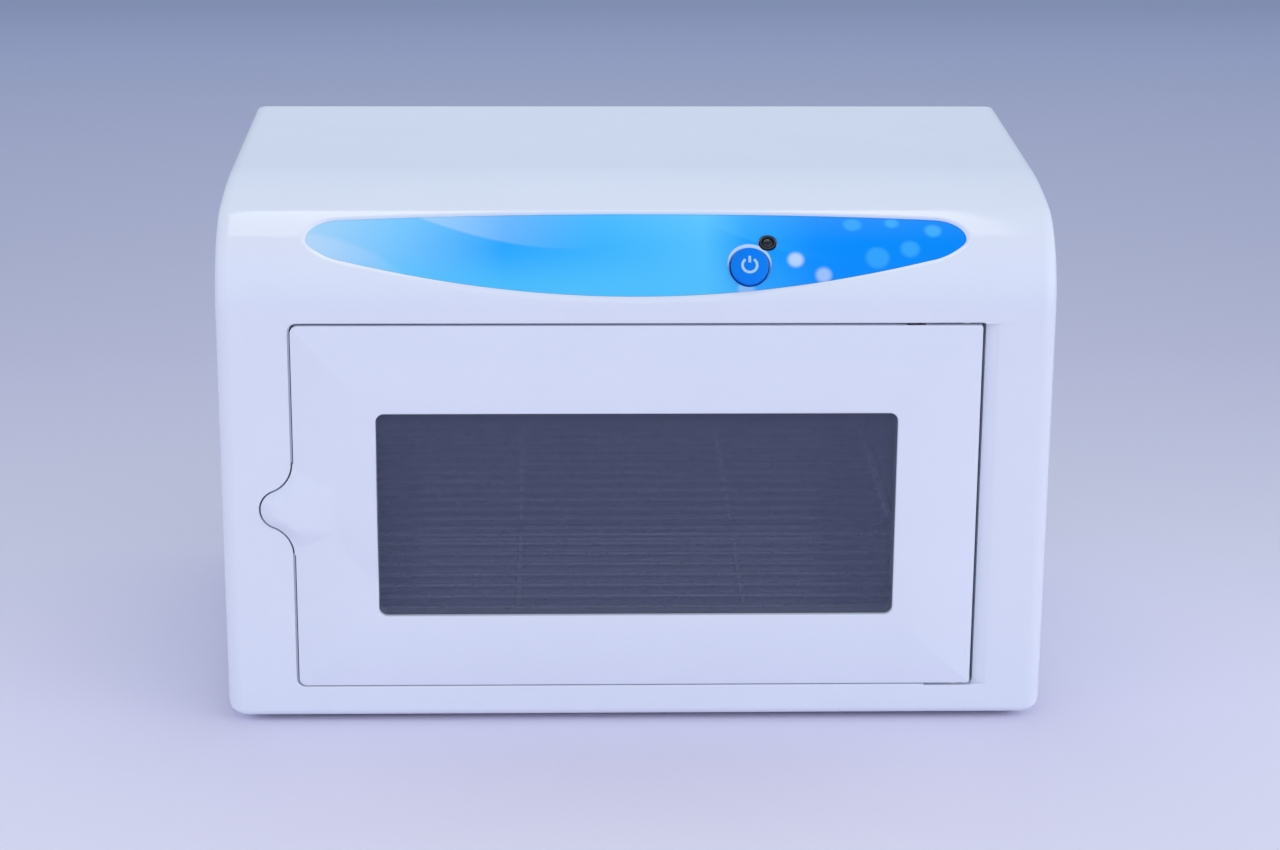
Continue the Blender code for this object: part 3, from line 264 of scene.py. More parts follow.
def solid(name, points, faces):
    """An object from points and faces, with its faces turned outwards."""
    shape = bmesh.new()
    corners = [shape.verts.new(point) for point in points]
    for face in faces:
        shape.faces.new([corners[i] for i in face])
    bmesh.ops.remove_doubles(shape, verts=shape.verts, dist=1e-6)
    bmesh.ops.recalc_face_normals(shape, faces=shape.faces)
    mesh = bpy.data.meshes.new(name)
    shape.to_mesh(mesh)
    shape.free()
    obj = bpy.data.objects.new(name, mesh)
    bpy.context.scene.collection.objects.link(obj)
    obj.location = (0, FRONT, 0)
    return soften(obj)


def band(first, second, count):
    """Faces between two equal rings of points, from where each ring starts in the list."""
    return [(first + i, first + (i + 1) % count, second + (i + 1) % count, second + i) for i in range(count)]


def loft(name, rings, loop=False):
    """A skin over equal rings of points, capped at its ends or running round in a loop."""
    count = len(rings[0])
    points = [point for ring in rings for point in ring]
    faces = []
    for k in range(len(rings) if loop else len(rings) - 1):
        faces += band(k * count, (k + 1) % len(rings) * count, count)
    if not loop:
        faces += [range(count), range(len(points) - count, len(points))]
    return solid(name, points, faces)


def column(name, section, low, high):
    """A section in X and Y, drawn up from one height to another."""
    return loft(name, [[(x, y, z) for x, y in section] for z in (low, high)])


def box(name, low, high):
    bottom = [(low[0], low[1]), (high[0], low[1]), (high[0], high[1]), (low[0], high[1])]
    return column(name, bottom, low[2], high[2])


def stack(name, layers, loop=False):
    """A skin over (depth, outline in X and Z) layers."""
    return loft(name, [[(x, y, z) for x, z in outline] for y, outline in layers], loop)


def plate(name, outline, front, back):
    """An outline in X and Z, drawn out along Y."""
    return stack(name, [(front, outline), (back, outline)])


def arc(centre, radius, start, end, steps, last_radius=None):
    """Points round a centre, from one angle to another in degrees, with both ends."""
    growth = (last_radius or radius) - radius
    points = []
    for i in range(steps + 1):
        angle = math.radians(start + (end - start) * i / steps)
        reach = radius + growth * i / steps
        points.append((centre[0] + reach * math.cos(angle), centre[1] + reach * math.sin(angle)))
    return points


def rounded(left, right, low, high, near, far, steps=8):
    """A rectangle with rounded corners, of one radius at its left and another at its right."""
    return (
        arc((left + near, low + near), near, 180, 270, steps)
        + arc((right - far, low + far), far, 270, 360, steps)
        + arc((right - far, high - far), far, 0, 90, steps)
        + arc((left + near, high - near), near, 90, 180, steps)
    )


def pointing(point, direction):
    """The frame at a point whose +Z runs along a direction."""
    turn = Vector(direction).to_track_quat("Z", "Y").to_matrix().to_4x4()
    return Matrix.Translation(point) @ turn


def turned(name, profile, place, sides=TURN_SIDES, bored=False):
    """A (radius, height) profile spun about a frame's +Z. A bored one runs round its own section."""
    angles = [2 * math.pi * (i + 0.5) / sides for i in range(sides)]
    rings = [[place @ Vector((r * math.cos(a), r * math.sin(a), h)) for a in angles] for r, h in profile]
    return loft(name, rings, loop=bored)


def cylinder(name, place, radius, low, high, sides=TURN_SIDES):
    """A cylinder about a frame's +Z."""
    return turned(name, [(0, low), (radius, low), (radius, high), (0, high)], place, sides)


def rod(name, start, end, radius, sides=TURN_SIDES):
    start, end = Vector(start), Vector(end)
    return cylinder(name, pointing(start, end - start), radius, 0, (end - start).length, sides)


def drilled(name, spots, depths, radius):
    """Rods along Y at (x, z) spots."""
    front, back = depths
    return [rod(name, (x, front, z), (x, back, z), radius) for x, z in spots]


def on_hinge(name, heights, radius):
    """Rods on the hinge's axis, between pairs of heights."""
    return [rod(name, (HINGE_X, HINGE_Y, low), (HINGE_X, HINGE_Y, high), radius) for low, high in heights]


def combine(target, operation, helpers):
    """Cuts or joins helpers, and removes them."""
    for helper in helpers:
        modifier = target.modifiers.new(helper.name, "BOOLEAN")
        modifier.operation = operation
        modifier.solver = "EXACT"
        modifier.object = helper
    settle(target)
    for helper in helpers:
        bpy.data.objects.remove(helper)
    return target


def cut(target, *helpers):
    return combine(target, "DIFFERENCE", helpers)


def join(target, *helpers):
    return combine(target, "UNION", helpers)


def settle(obj):
    """Applies an object's modifiers."""
    graph = bpy.context.evaluated_depsgraph_get()
    obj.data = bpy.data.meshes.new_from_object(obj.evaluated_get(graph), depsgraph=graph)
    obj.modifiers.clear()
    return soften(obj)


def round_edges(obj, width, segments=3):
    """Rounds an object's sharp edges."""
    bevel = obj.modifiers.new("edges", "BEVEL")
    bevel.width = width
    bevel.segments = segments
    bevel.limit_method = "ANGLE"
    bevel.angle_limit = math.radians(40)
    return settle(obj)


def place_in(obj, place):
    obj.data.transform(place)
    return obj


def opening(radius, reach=0.010):
    """How a cutter widens towards a face at y = 0, as (y, growth), so that it leaves a rounded edge."""
    steps = []
    for degrees in (0, 20, 40, 60, 80):
        turn = math.radians(degrees)
        steps.append((radius * (1 - math.sin(turn)), radius * (1 - math.cos(turn))))
    return steps + [(-reach, steps[-1][1] + reach)]


# ---------------------------------------------------------------- housing


def side_outline(front, lid, base, back):
    """The housing seen from the side, pulled in from its faces: (y, z, radius of the end rounding)."""
    toe = max(TOE_RADIUS - max(front, base), GAP)
    heel = max(CORNER_RADIUS - max(base, back), GAP)
    nape = max(CORNER_RADIUS - max(lid, back), GAP)
    floor = FOOT_HEIGHT + base
    rear = DEPTH - back
    brow = 180 - BROW_SWEEP
    crown_middle = (
        BROW_RADIUS + (BROW_RADIUS - CROWN_RADIUS) * math.cos(math.radians(brow)),
        BROW_START + (BROW_RADIUS - CROWN_RADIUS) * math.sin(math.radians(brow)),
    )
    stretches = [
        (arc((front + toe, floor + toe), toe, 270, 180, 10), BASE_RADIUS, SIDE_RADIUS),
        (arc((BROW_RADIUS, BROW_START), BROW_RADIUS - front, 180, brow, 56, BROW_RADIUS - lid),
         SIDE_RADIUS, LID_RADIUS),
        (arc(crown_middle, CROWN_RADIUS - lid, brow, 90, 12)[1:], LID_RADIUS, LID_RADIUS),
        (arc((rear - nape, TOP - lid - nape), nape, 90, 0, 8), LID_RADIUS, BACK_RADIUS),
        (arc((rear - heel, floor + heel), heel, 0, -90, 8), BACK_RADIUS, BASE_RADIUS),
    ]
    points = []
    for stretch, first, last in stretches:
        for i, (y, z) in enumerate(stretch):
            points.append((y, z, first + (last - first) * i / (len(stretch) - 1)))
    return points


def shell(name, wall=0.0, floor=0.0, back=0.0, steps=12):
    """The housing's rounded block, or the smaller block inside its walls."""
    rings = []
    for side, order in ((-1, range(steps, -1, -1)), (1, range(steps + 1))):
        for k in order:
            angle = math.pi / 2 * k / steps
            drop = 1 - math.cos(angle)
            outline = side_outline(
                wall + (SIDE_RADIUS - wall) * drop,
                wall + max(LID_DROP - wall, 0) * drop,
                floor + (BASE_RADIUS - wall) * drop,
                back + BACK_RADIUS * drop,
            )
            ring = []
            for y, z, radius in outline:
                end = max(radius - wall, GAP) * (1 - math.sin(angle))
                ring.append((side * (WIDTH / 2 - wall - end), y, z))
            rings.append(ring)
    return loft(name, rings)


def brow_frame(x, along, depth=0.0):
    """The frame on the brow at an arc length up it, with +Z out of the surface and +Y up the slope."""
    angle = along / BROW_RADIUS
    out = Vector((0, -math.cos(angle), math.sin(angle)))
    up = Vector((0, math.sin(angle), math.cos(angle)))
    place = Vector((x, BROW_RADIUS, BROW_START)) + out * (BROW_RADIUS - depth)
    return Matrix.Translation(place) @ Matrix((Vector((1, 0, 0)), up, out)).transposed().to_4x4()


def button_frame():
    return brow_frame(BUTTON_X, BUTTON_ARC)


def light_frame():
    return brow_frame(LIGHT_X, LIGHT_ARC)


def panel_grid(depth, above, below, columns=72, end_steps=16, rows=20):
    """Points over the blue panel's outline, at a depth under the brow and grown above and below."""
    grow = (above + below) / 2
    turns = [math.radians(84 * k / end_steps) for k in range(1, end_steps + 1)]
    stations = [(PANEL_STRAIGHT * (2 * i / columns - 1), 1.0) for i in range(columns + 1)]
    tail = [(PANEL_STRAIGHT + (PANEL_END + grow) * math.sin(turn), math.cos(turn)) for turn in turns]
    stations = [(-x, scale) for x, scale in reversed(tail)] + stations + tail
    grid = []
    for x, scale in stations:
        low = PANEL_LOW + x**2 / (2 * PANEL_LOW_RADIUS) - below
        high = PANEL_HIGH - x**2 / (2 * PANEL_HIGH_RADIUS) + above
        low = PANEL_MIDDLE + (low - PANEL_MIDDLE) * scale
        high = PANEL_MIDDLE + (high - PANEL_MIDDLE) * scale
        heights = [low + (high - low) * j / rows for j in range(rows + 1)]
        grid.append([brow_frame(x, along, depth).translation for along in heights])
    return grid


def panel_block(name, layers):
    """A block with the blue panel's outline, from its deepest layer to its highest."""
    grids = [panel_grid(*layer) for layer in layers]
    columns, rows = len(grids[0]), len(grids[0][0])
    points, faces = [], []
    for grid in (grids[0], grids[-1]):
        start = len(points)
        points += [point for column in grid for point in column]
        for i in range(columns - 1):
            for j in range(rows - 1):
                corner = start + i * rows + j
                faces.append((corner, corner + rows, corner + rows + 1, corner + 1))
    edge = [(i, 0) for i in range(columns - 1)] + [(columns - 1, j) for j in range(rows - 1)]
    edge += [(i, rows - 1) for i in range(columns - 1, 0, -1)] + [(0, j) for j in range(rows - 1, 0, -1)]
    for k, grid in enumerate(grids):
        start = len(points)
        points += [grid[i][j] for i, j in edge]
        if k:
            faces += band(start - len(edge), start, len(edge))
    return solid(name, points, faces)


def panel_recess():
    """The dish that the blue panel lies in: a steep wall over the panel, a broad slope under it."""
    layers = [(PANEL_DEPTH + PANEL_THICK + GAP, GAP, GAP), (PANEL_DEPTH, GAP, GAP)]
    steps = 10
    for k in range(1, steps + 1):
        share = k / steps
        steep = 0.5 * share + 0.5 * share**6
        broad = 0.7 * share + 0.3 * share**6
        above = GAP + (PANEL_RIM_ABOVE - GAP) * steep
        below = GAP + (PANEL_RIM_BELOW - GAP) * broad
        layers.append((PANEL_DEPTH * (1 - share), above, below))
    lift, flare = 0.002, 0.004  # the cutter's last layer stands clear of the brow
    layers.append((-lift, PANEL_RIM_ABOVE + flare, PANEL_RIM_BELOW + flare))
    return panel_block("panel_recess", layers)


def tab_outline(offset, steps=20):
    """The finger tab's side of the gap line, from above to below; a positive offset is outside it."""
    edge = -DOOR_HALF - offset
    tip = TAB_RADIUS + offset
    flare = ((TAB_FLARE**2 + (TAB_CENTRE - DOOR_HALF) ** 2 - TAB_RADIUS**2)
             / (2 * (TAB_RADIUS + TAB_CENTRE - DOOR_HALF)))
    hollow = (-DOOR_HALF - flare, TAB_FLARE)
    lean = math.degrees(math.atan2(hollow[1], -TAB_CENTRE - hollow[0]))
    upper = arc(hollow, flare - offset, 0, -lean, steps)
    upper += arc((-TAB_CENTRE, 0), tip, 180 - lean, 180, steps)[1:]
    lower = [(x, -z) for x, z in reversed(upper[:-1])]
    return [(min(x, edge), TAB_HEIGHT + z) for x, z in upper + lower]


def pocket_outline(ledge, grow):
    """The door pocket's outline, narrowed by a ledge; under the leaf it is always narrowed."""
    gap = DOOR_GAP / 2 + grow
    left, right = ledge - DOOR_HALF - gap, DOOR_HALF + gap + HINGE_GAP
    low, high = DOOR_LOW - gap, DOOR_HIGH + gap
    floor, ceiling = low + LEDGE_REACH, high - ledge
    near, far = LATCH_CORNER + gap - ledge, HINGE_CORNER + gap
    return (
        arc((left + near, floor + near), near, 180, 270, 8)
        + [(LEDGE_END, floor), (LEDGE_END, low)]
        + arc((right - far, low + far), far, 270, 360, 8)
        + arc((right - far, high - far), far, 0, 90, 8)
        + [(LEDGE_END, high), (LEDGE_END, ceiling)]
        + arc((left + near, ceiling - near), near, 90, 180, 8)
    )


def door_pocket():
    """The pocket that the leaf closes into, with a rounded edge at the front face."""
    layers = [(POCKET_DEPTH, LEDGE_REACH, 0), (LEDGE_DEPTH, LEDGE_REACH, 0), (LEDGE_DEPTH, 0, 0)]
    layers += [(y, 0, grow) for y, grow in opening(EDGE_ROUND)]
    return stack("door_pocket", [(y, pocket_outline(ledge, grow)) for y, ledge, grow in layers])


def tab_notch():
    """Room in the front face for the finger tab, run on into the pocket."""
    layers = []
    for y, grow in [(TAB_DEPTH + TAB_CLEARANCE, 0)] + opening(EDGE_ROUND, 0.002):
        outline = tab_outline(DOOR_GAP / 2 + grow)
        layers.append((y, outline + [(-TAB_ROOT, outline[-1][1]), (-TAB_ROOT, outline[0][1])]))
    return stack("tab_notch", layers)


def hinge_scoop():
    """The hollow beside the hinge, which the leaf's swollen face turns into."""
    edge = DOOR_HALF + DOOR_GAP / 2 + HINGE_GAP
    section = [(edge - 0.001, -0.004), (0.1690, -0.003), (0.1640, 0), (edge, 0.0036), (edge - 0.001, 0.0036)]
    return column("hinge_scoop", section, *SCOOP_HEIGHTS)


def screw_posts():
    """(x, z) of the four rear screws."""
    return [middle_of(f"rear_screw_{i}").xz for i in range(1, 5)]


def base_screws():
    """(x, y) of the four screws under the base."""
    return [middle_of(f"base_screw_{i}").xy for i in range(1, 5)]


def housing_cavity():
    """The space inside the housing's walls, less the door frame and the posts that stand in it."""
    cavity = shell("housing_cavity", WALL, BASE_LEDGE_TOP - FOOT_HEIGHT, -0.010, steps=4)
    helpers = [box("door_surround", *DOOR_SURROUND)]
    helpers += on_hinge("knuckle", KNUCKLES, KNUCKLE_RADIUS)
    back = sides_of("rear_cover")[0].y - GAP
    for x, z in screw_posts():
        is_low = z < TOP / 2
        bottom = z - (POST_DROP if is_low else POST_HALF)
        top = z + POST_HALF if is_low else TOP
        side = math.copysign(POST_SIDE, x)
        low = (min(x - POST_HALF, side), POST_FRONT, bottom)
        high = (max(x + POST_HALF, side), back, top)
        helpers.append(box("rear_post", low, high))
    return cut(cavity, *helpers)


def make_housing():
    housing = shell("housing")
    cut(
        housing,
        housing_cavity(),
        door_pocket(),
        tab_notch(),
        hinge_scoop(),
        box("chamber_mouth", *CHAMBER_MOUTH),
        box("base_opening", *BASE_OPENING),
        box("base_rebate", *BASE_REBATE),
        panel_recess(),
        box("finger_passage", *FINGER_PASSAGE),
        box("catch_hole", *CATCH_HOLE),
    )
    hinge = Matrix.Translation((HINGE_X, HINGE_Y, 0))
    bores = [  # name, frame, radius, lowest and highest point on its +Z
        ("button_bore", button_frame(), BUTTON_HOLE, *BROW_CUT),
        ("light_bore", light_frame(), LIGHT_HOLE, *BROW_CUT),
        ("upper_bush_bore", hinge, BUSH_SEAT, 0.192, 0.2022),
        ("lower_bush_bore", hinge, BUSH_SEAT, 0.0093, 0.019),
    ]
    for x, z in screw_posts():
        bores.append(("rear_pilot", pointing((x, 0, z), (0, 1, 0)), PILOT_RADIUS, 0.216, 0.240))
    for x, y in base_screws():
        bores.append(("base_pilot", Matrix.Translation((x, y, 0)), PILOT_RADIUS, 0.005, 0.014))
    for bore in bores:
        cut(housing, cylinder(*bore))
    stand_for(housing, "main_housing")


# ---------------------------------------------------------------- back and base


def make_rear_cover():
    low, high = sides_of("rear_cover")
    outline = rounded(low.x, high.x, low.z, high.z, COVER_CORNER, COVER_CORNER)
    cover = round_edges(plate("cover", outline, low.y, high.y), 0.0006)
    for x in (-VENT_X, VENT_X):
        for i in range(VENT_ROWS):
            z = VENT_LOW + VENT_PITCH * i
            left, right, under, over = x - VENT_HALF, x + VENT_HALF, z - VENT_ROUND, z + VENT_ROUND
            slot = rounded(left, right, under, over, VENT_ROUND, VENT_ROUND)
            cut(cover, plate("vent", slot, low.y - 0.005, high.y + 0.005))
    inlet_low, inlet_high = sides_of("power_inlet")
    window_low = (inlet_low.x - GAP, COVER_CUT[0], inlet_low.z - GAP)
    window_high = (inlet_high.x + GAP, COVER_CUT[1], inlet_high.z + GAP)
    cut(cover, box("inlet_window", window_low, window_high))
    for hole in drilled("cover_hole", screw_posts(), COVER_CUT, CLEAR_RADIUS):
        cut(cover, hole)
    stand_for(cover, "rear_cover")


def make_base_plate():
    base = round_edges(box("base", *sides_of("base_plate")), 0.0005)
    sink, seat, low, high = 0.0035, 0.0061, 0.001, 0.009
    hole = [(0, low), (sink, low), (sink, seat), (CLEAR_RADIUS, seat), (CLEAR_RADIUS, high), (0, high)]
    for x, y in base_screws():
        cut(base, turned("base_hole", hole, Matrix.Translation((x, y, 0))))
    for name in feet():
        x, y = middle_of(name).xy
        cut(base, rod("foot_hole", (x, y, 0.001), (x, y, 0.010), FOOT_BORE))
    stand_for(base, "base_plate")


def feet():
    return [f"foot_{row}_{side}" for row in ("front", "rear") for side in ("left", "right")]


def make_feet():
    """Rubber feet with a rounded tread, three grip rings and a neck that snaps through the base."""
    tread = [(0, 0), (0.0030, 0), (0.0033, 0.0003), (0.0036, 0), (0.0048, 0), (0.0051, 0.0003), (0.0054, 0),
             (0.0066, 0)]
    wall = [(0.0066 + r, 0.0014 + h) for r, h in arc((0, 0), 0.0014, -80, 0, 6)]
    neck = [(0.0085, 0.0019), (0.0082, 0.0036), (0.0078, 0.0039), (0.0025, 0.0039), (0.0025, 0.0076),
            (0.0034, 0.0082), (0.002, 0.0098), (0, 0.0098)]
    profile = tread + [(min(r, 0.0083), h) for r, h in wall] + neck
    for name in feet():
        x, y = middle_of(name).xy
        stand_for(turned("foot", profile, Matrix.Translation((x, y, 0))), name)


def make_screw(node, direction):
    """A pan-head screw with a cross recess; its shank runs along the direction."""
    low, high = sides_of(node)
    direction = Vector(direction)
    length = abs((high - low).dot(direction)) - HEAD_HEIGHT
    point = middle_of(node) + direction * (HEAD_HEIGHT - length) / 2
    head = [(0.55, 1.0), (0.72, 0.93), (0.88, 0.75), (0.97, 0.45), (1.0, 0.15), (1.0, 0)]
    profile = [(0, -HEAD_HEIGHT)] + [(HEAD_RADIUS * r, -HEAD_HEIGHT * h) for r, h in head]
    pitch = 0.0008
    count = int(length / pitch)
    for k in range(count):
        profile += [(SHANK_RADIUS, pitch * k), (SHANK_RADIUS * 0.8, pitch * (k + 0.5))]
    profile += [(SHANK_RADIUS, pitch * count), (0, length)]
    place = pointing(point, direction)
    screw = turned("screw", profile, place, 32)
    for wide, tall in ((0.0031, 0.0006), (0.0006, 0.0031)):
        low_corner = (-wide / 2, -tall / 2, -HEAD_HEIGHT - 0.001)
        high_corner = (wide / 2, tall / 2, 0.0009 - HEAD_HEIGHT)
        cut(screw, place_in(box("recess", low_corner, high_corner), place))
    stand_for(screw, node)


def make_screws():
    for i in range(1, 5):
        make_screw(f"rear_screw_{i}", (0, -1, 0))
        make_screw(f"door_screw_{i}", (0, -1, 0))
        make_screw(f"base_screw_{i}", (0, 0, 1))


def make_power_inlet():
    """An appliance inlet whose mouth faces back, with three blades in it."""
    low, high = sides_of("power_inlet")
    x, z = (low.x + high.x) / 2, (low.z + high.z) / 2
    inlet = round_edges(box("inlet", low, high), 0.0006)
    layers = []
    for y, grow in ((0.2185, 0), (high.y - 0.0008, 0), (high.y + 0.001, 0.0018)):
        wide, tall = 0.012 + grow, 0.008 + grow
        layers.append((y, rounded(x - wide, x + wide, z - tall, z + tall, 0.002, 0.002)))
    cut(inlet, stack("mouth", layers))
    wide, tall = 0.001, 0.002
    for across, up in ((-0.007, 0.001), (0, 0.004), (0.007, 0.001)):
        blade_low = (x + across - wide, 0.2175, z + up - tall)
        blade_high = (x + across + wide, 0.2315, z + up + tall)
        join(inlet, box("blade", blade_low, blade_high))
    stand_for(inlet, "power_inlet")


# ---------------------------------------------------------------- brow panel


def make_panel_overlay():
    layers = [(PANEL_DEPTH + PANEL_THICK, PANEL_GROW, PANEL_GROW), (PANEL_DEPTH, PANEL_GROW, PANEL_GROW)]
    overlay = panel_block("overlay", layers)
    for place, radius in ((button_frame(), BUTTON_HOLE + GAP), (light_frame(), LIGHT_HOLE + GAP)):
        cut(overlay, cylinder("hole", place, radius, -0.005, 0.002))
    stand_for(overlay, "panel_overlay")


def button_rise(radius):
    """Height of the button's swollen face above the brow, at a distance from its middle."""
    return BUTTON_SWELL - BUTTON_FALL * (radius / BUTTON_RADIUS) ** 2


def make_power_button():
    """A swollen cap over a flange that stops it in its bore, and a stem down to its switch."""
    face = [(r, button_rise(r)) for r in (0, 0.002, 0.004, 0.006, 0.0075)]
    edge = 0.0006
    rim = [(BUTTON_RADIUS - edge + r, h - 0.0004) for r, h in arc((0, 0), edge, 75, 0, 6)]
    flange, flange_top, flange_bottom = 0.0102, -0.0054, -0.0066
    stem, stem_end = 0.003, -0.0096
    skirt = [(BUTTON_RADIUS, flange_top), (flange, flange_top), (flange, flange_bottom)]
    tail = [(stem, flange_bottom), (stem, stem_end), (0, stem_end)]
    stand_for(turned("button", face + rim + skirt + tail, button_frame(), 96), "power_button")


def make_power_symbol():
    """A printed ring, open at its top, with a bar in the opening: the common mark for power."""
    lift, root = 0.00006, -0.0001
    inner, outer, half = 0.0027, 0.0039, 0.0006
    section = [(inner, root), (outer, root), (outer, lift), (inner, lift)]
    rings = []
    for degrees in range(125, 416, 5):
        turn = math.radians(degrees)
        x, y = math.cos(turn), math.sin(turn)
        rings.append([Vector((r * x, r * y, button_rise(r) + h)) for r, h in section])
    ring = loft("power_symbol_ring", rings)
    section = [(-half, root), (half, root), (half, lift), (-half, lift)]
    rings = []
    for up in [0.0012 + 0.0004 * k for k in range(9)]:
        rings.append([Vector((across, up, button_rise(up) + h)) for across, h in section])
    bar = loft("power_symbol_bar", rings)
    for piece in (ring, bar):
        place_in(piece, button_frame())
        dress(piece, print_white())
        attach(piece, "button")


def make_indicator():
    """A bezel ring with a domed lens in it, and the LED behind the lens."""
    place = light_frame()
    ring = [
        (0.0037, -0.0034), (0.0037, -0.0012), (0.0036, -0.0009), (0.0033, -0.0008),
        (0.0030, -0.0009), (0.0028, -0.0012), (0.0028, -0.0034),
    ]
    stand_for(turned("bezel", ring, place, bored=True), "indicator_bezel")
    domes = [  # node, radius, height of the dome's foot, its rise, and the piece's end
        ("indicator_lens", 0.0025, -0.0016, 0.0007, -0.0032),
        ("indicator_led", 0.0015, -0.0051, 0.0015, -0.0095),
    ]
    for node, radius, foot, rise, end in domes:
        turns = [math.radians(degrees) for degrees in range(0, 91, 15)]
        dome = [(radius * math.sin(turn), foot + rise * math.cos(turn)) for turn in turns]
        stand_for(turned(node, dome + [(radius, end), (0, end)], place), node)


# ---------------------------------------------------------------- chamber, rack and lamp


def make_chamber_liner():
    """A sheet box, open at its front, with a slot for the lamp in its ceiling."""
    inner_low = Vector((CHAMBER_LOW.x + SHEET, 0.010, CHAMBER_LOW.z + SHEET))
    inner_high = Vector((CHAMBER_HIGH.x - SHEET, 0.210, CHAMBER_HIGH.z - SHEET))
    inside = round_edges(box("inside", inner_low, inner_high), 0.0012)
    slot = box("lamp_slot", (-0.138, 0.089, inner_high.z - 0.002), (0.138, 0.121, inner_high.z + 0.004))
    stand_for(cut(box("liner", CHAMBER_LOW, CHAMBER_HIGH), inside, slot), "chamber_liner")


def make_wire_rack():
    """A welded rack: a rounded frame, wires across it, and two bars under the wires."""
    low, high = sides_of("wire_rack")
    bar, corner, sides = 0.00175, 0.007, 18
    half, front, back = high.x - bar, low.y + bar, high.y - bar
    middle = Vector((0, (front + back) / 2))
    height = high.z - bar
    path = rounded(-half, half, front, back, corner, corner)
    rings = []
    for i, (x, y) in enumerate(path):
        before, after = Vector(path[i - 1]), Vector(path[(i + 1) % len(path)])
        along = (after - before).normalized()
        out = Vector((along.y, -along.x, 0))
        if out.xy.dot(Vector((x, y)) - middle) < 0:
            out = -out
        rings.append([Vector((x, y, height + h)) + out * r for r, h in arc((0, 0), bar, 0, 342, 19)])
    rack = loft("rack", rings, loop=True)
    wires = 10
    pitch = (back - front) / (wires + 1)
    level = height + 0.0006
    for i in range(wires):
        y = back - pitch * (i + 1)
        join(rack, rod("wire", (-half, y, level), (half, y, level), 0.00125, sides))
    level = height - 0.0012
    for x in (-0.0557, 0.0557):
        join(rack, rod("bar", (x, front, level), (x, back, level), 0.0014, sides))
    stand_for(rack, "wire_rack")


def make_lamp():
    """A straight glass tube between two capped ends with two pins each."""
    low, high = sides_of("lamp_tube")
    centre = middle_of("lamp_tube")
    radius, half = (high.z - low.z) / 2, (high.x - low.x) / 2
    bore = radius - 0.0010
    section = [(radius, -half), (radius, half), (bore, half), (bore, -half)]
    stand_for(turned("tube", section, pointing(centre, (1, 0, 0)), bored=True), "lamp_tube")
    start, end = half + GAP, half + 0.0075
    near, far = 0.0004, 0.0008  # chamfers of a cap's two rims
    profile = [
        (0, start), (radius - near, start), (radius, start + near),
        (radius, end - far), (radius - far, end), (0, end),
    ]
    for name, side in (("lamp_cap_left", -1), ("lamp_cap_right", 1)):
        cap = turned("cap", profile, pointing(centre, (side, 0, 0)))
        for z in (-0.0024, 0.0024):
            inner = centre + Vector((side * (end - 0.003), 0, z))
            outer = centre + Vector((side * (end + 0.007), 0, z))
            join(cap, rod("pin", inner, outer, 0.0012, 24))
        stand_for(cap, name)


# ---------------------------------------------------------------- door leaf


def crown(inset):
    """How far the leaf's face stands forward, at a distance in from its edge."""
    share = min(max(inset, 0) / DOOR_CROWN_RUN, 1)
    return DOOR_CROWN * (1 - (1 - share) ** 2)


def smooth_step(value, low, high):
    share = min(max((value - low) / (high - low), 0), 1)
    return share * share * (3 - 2 * share)


def larger(a, b, blend):
    """The larger of two heights, blended where they are close."""
    return (a + b + math.sqrt((a - b) ** 2 + blend**2)) / 2


def dome_rise(x, z):
    """Height of the round boss above the leaf, which runs out softly at its edge."""
    sphere = (DOME_RADIUS**2 + DOME_HEIGHT**2) / (2 * DOME_HEIGHT)
    radius = math.hypot(x - DOME_CENTRE[0], z - DOME_CENTRE[1])
    rise = DOME_HEIGHT - sphere + math.sqrt(max(sphere**2 - radius**2, 0))
    return larger(rise, 0, DOME_BLEND)


def edge_distance(x, z, outline):
    """Distance from a point to an outline."""
    point = Vector((x, z))
    best = 1.0
    for start, end in zip(outline, outline[1:]):
        nearest, share = intersect_point_line(point, Vector(start), Vector(end))
        nearest = Vector(start).lerp(Vector(end), min(max(share, 0), 1))
        best = min(best, (point - nearest).length)
    return best


def tab_rise(x, z, outline):
    """Height of the finger tab: its flanks climb from its edge to a level ridge."""
    reach = 1 - smooth_step(abs(z - TAB_HEIGHT), TAB_FLARE * 0.35, TAB_FLARE)
    if reach == 0 or x > -TAB_END:
        return 0.0
    share = min(edge_distance(x, z, outline) / TAB_FLANK, 1)
    return TAB_RISE * reach * (1 - (1 - share) ** 2)


def latch_rows(inset, with_tab=True, rows=34):
    """Points down the leaf's latch side, between its corners, a distance in from its edge."""
    edge = DOOR_GAP / 2 + inset
    outline = tab_outline(TAB_GROW - edge)
    top, bottom = DOOR_HIGH - DOOR_GAP / 2 - LATCH_CORNER, DOOR_LOW + DOOR_GAP / 2 + LATCH_CORNER
    above = [top + (outline[0][1] - top) * k / rows for k in range(1, rows + 1)]
    below = [outline[-1][1] + (bottom - outline[-1][1]) * k / rows for k in range(rows)]
    side = [(edge - DOOR_HALF, z) for z in above] + outline + [(edge - DOOR_HALF, z) for z in below]
    return side if with_tab else [(edge - DOOR_HALF, z) for _, z in side]


def window_height(z):
    """Where a row that starts at a height on the leaf's latch side meets the window's side."""
    if z > TAB_HEIGHT:
        top = DOOR_HIGH - DOOR_GAP / 2 - LATCH_CORNER
        share = (z - TAB_HEIGHT) / (top - TAB_HEIGHT)
        return TAB_HEIGHT + share * (WINDOW_HIGH - WINDOW_CORNER - TAB_HEIGHT)
    bottom = DOOR_LOW + DOOR_GAP / 2 + LATCH_CORNER
    share = (TAB_HEIGHT - z) / (TAB_HEIGHT - bottom)
    return TAB_HEIGHT + share * (WINDOW_LOW + WINDOW_CORNER - TAB_HEIGHT)


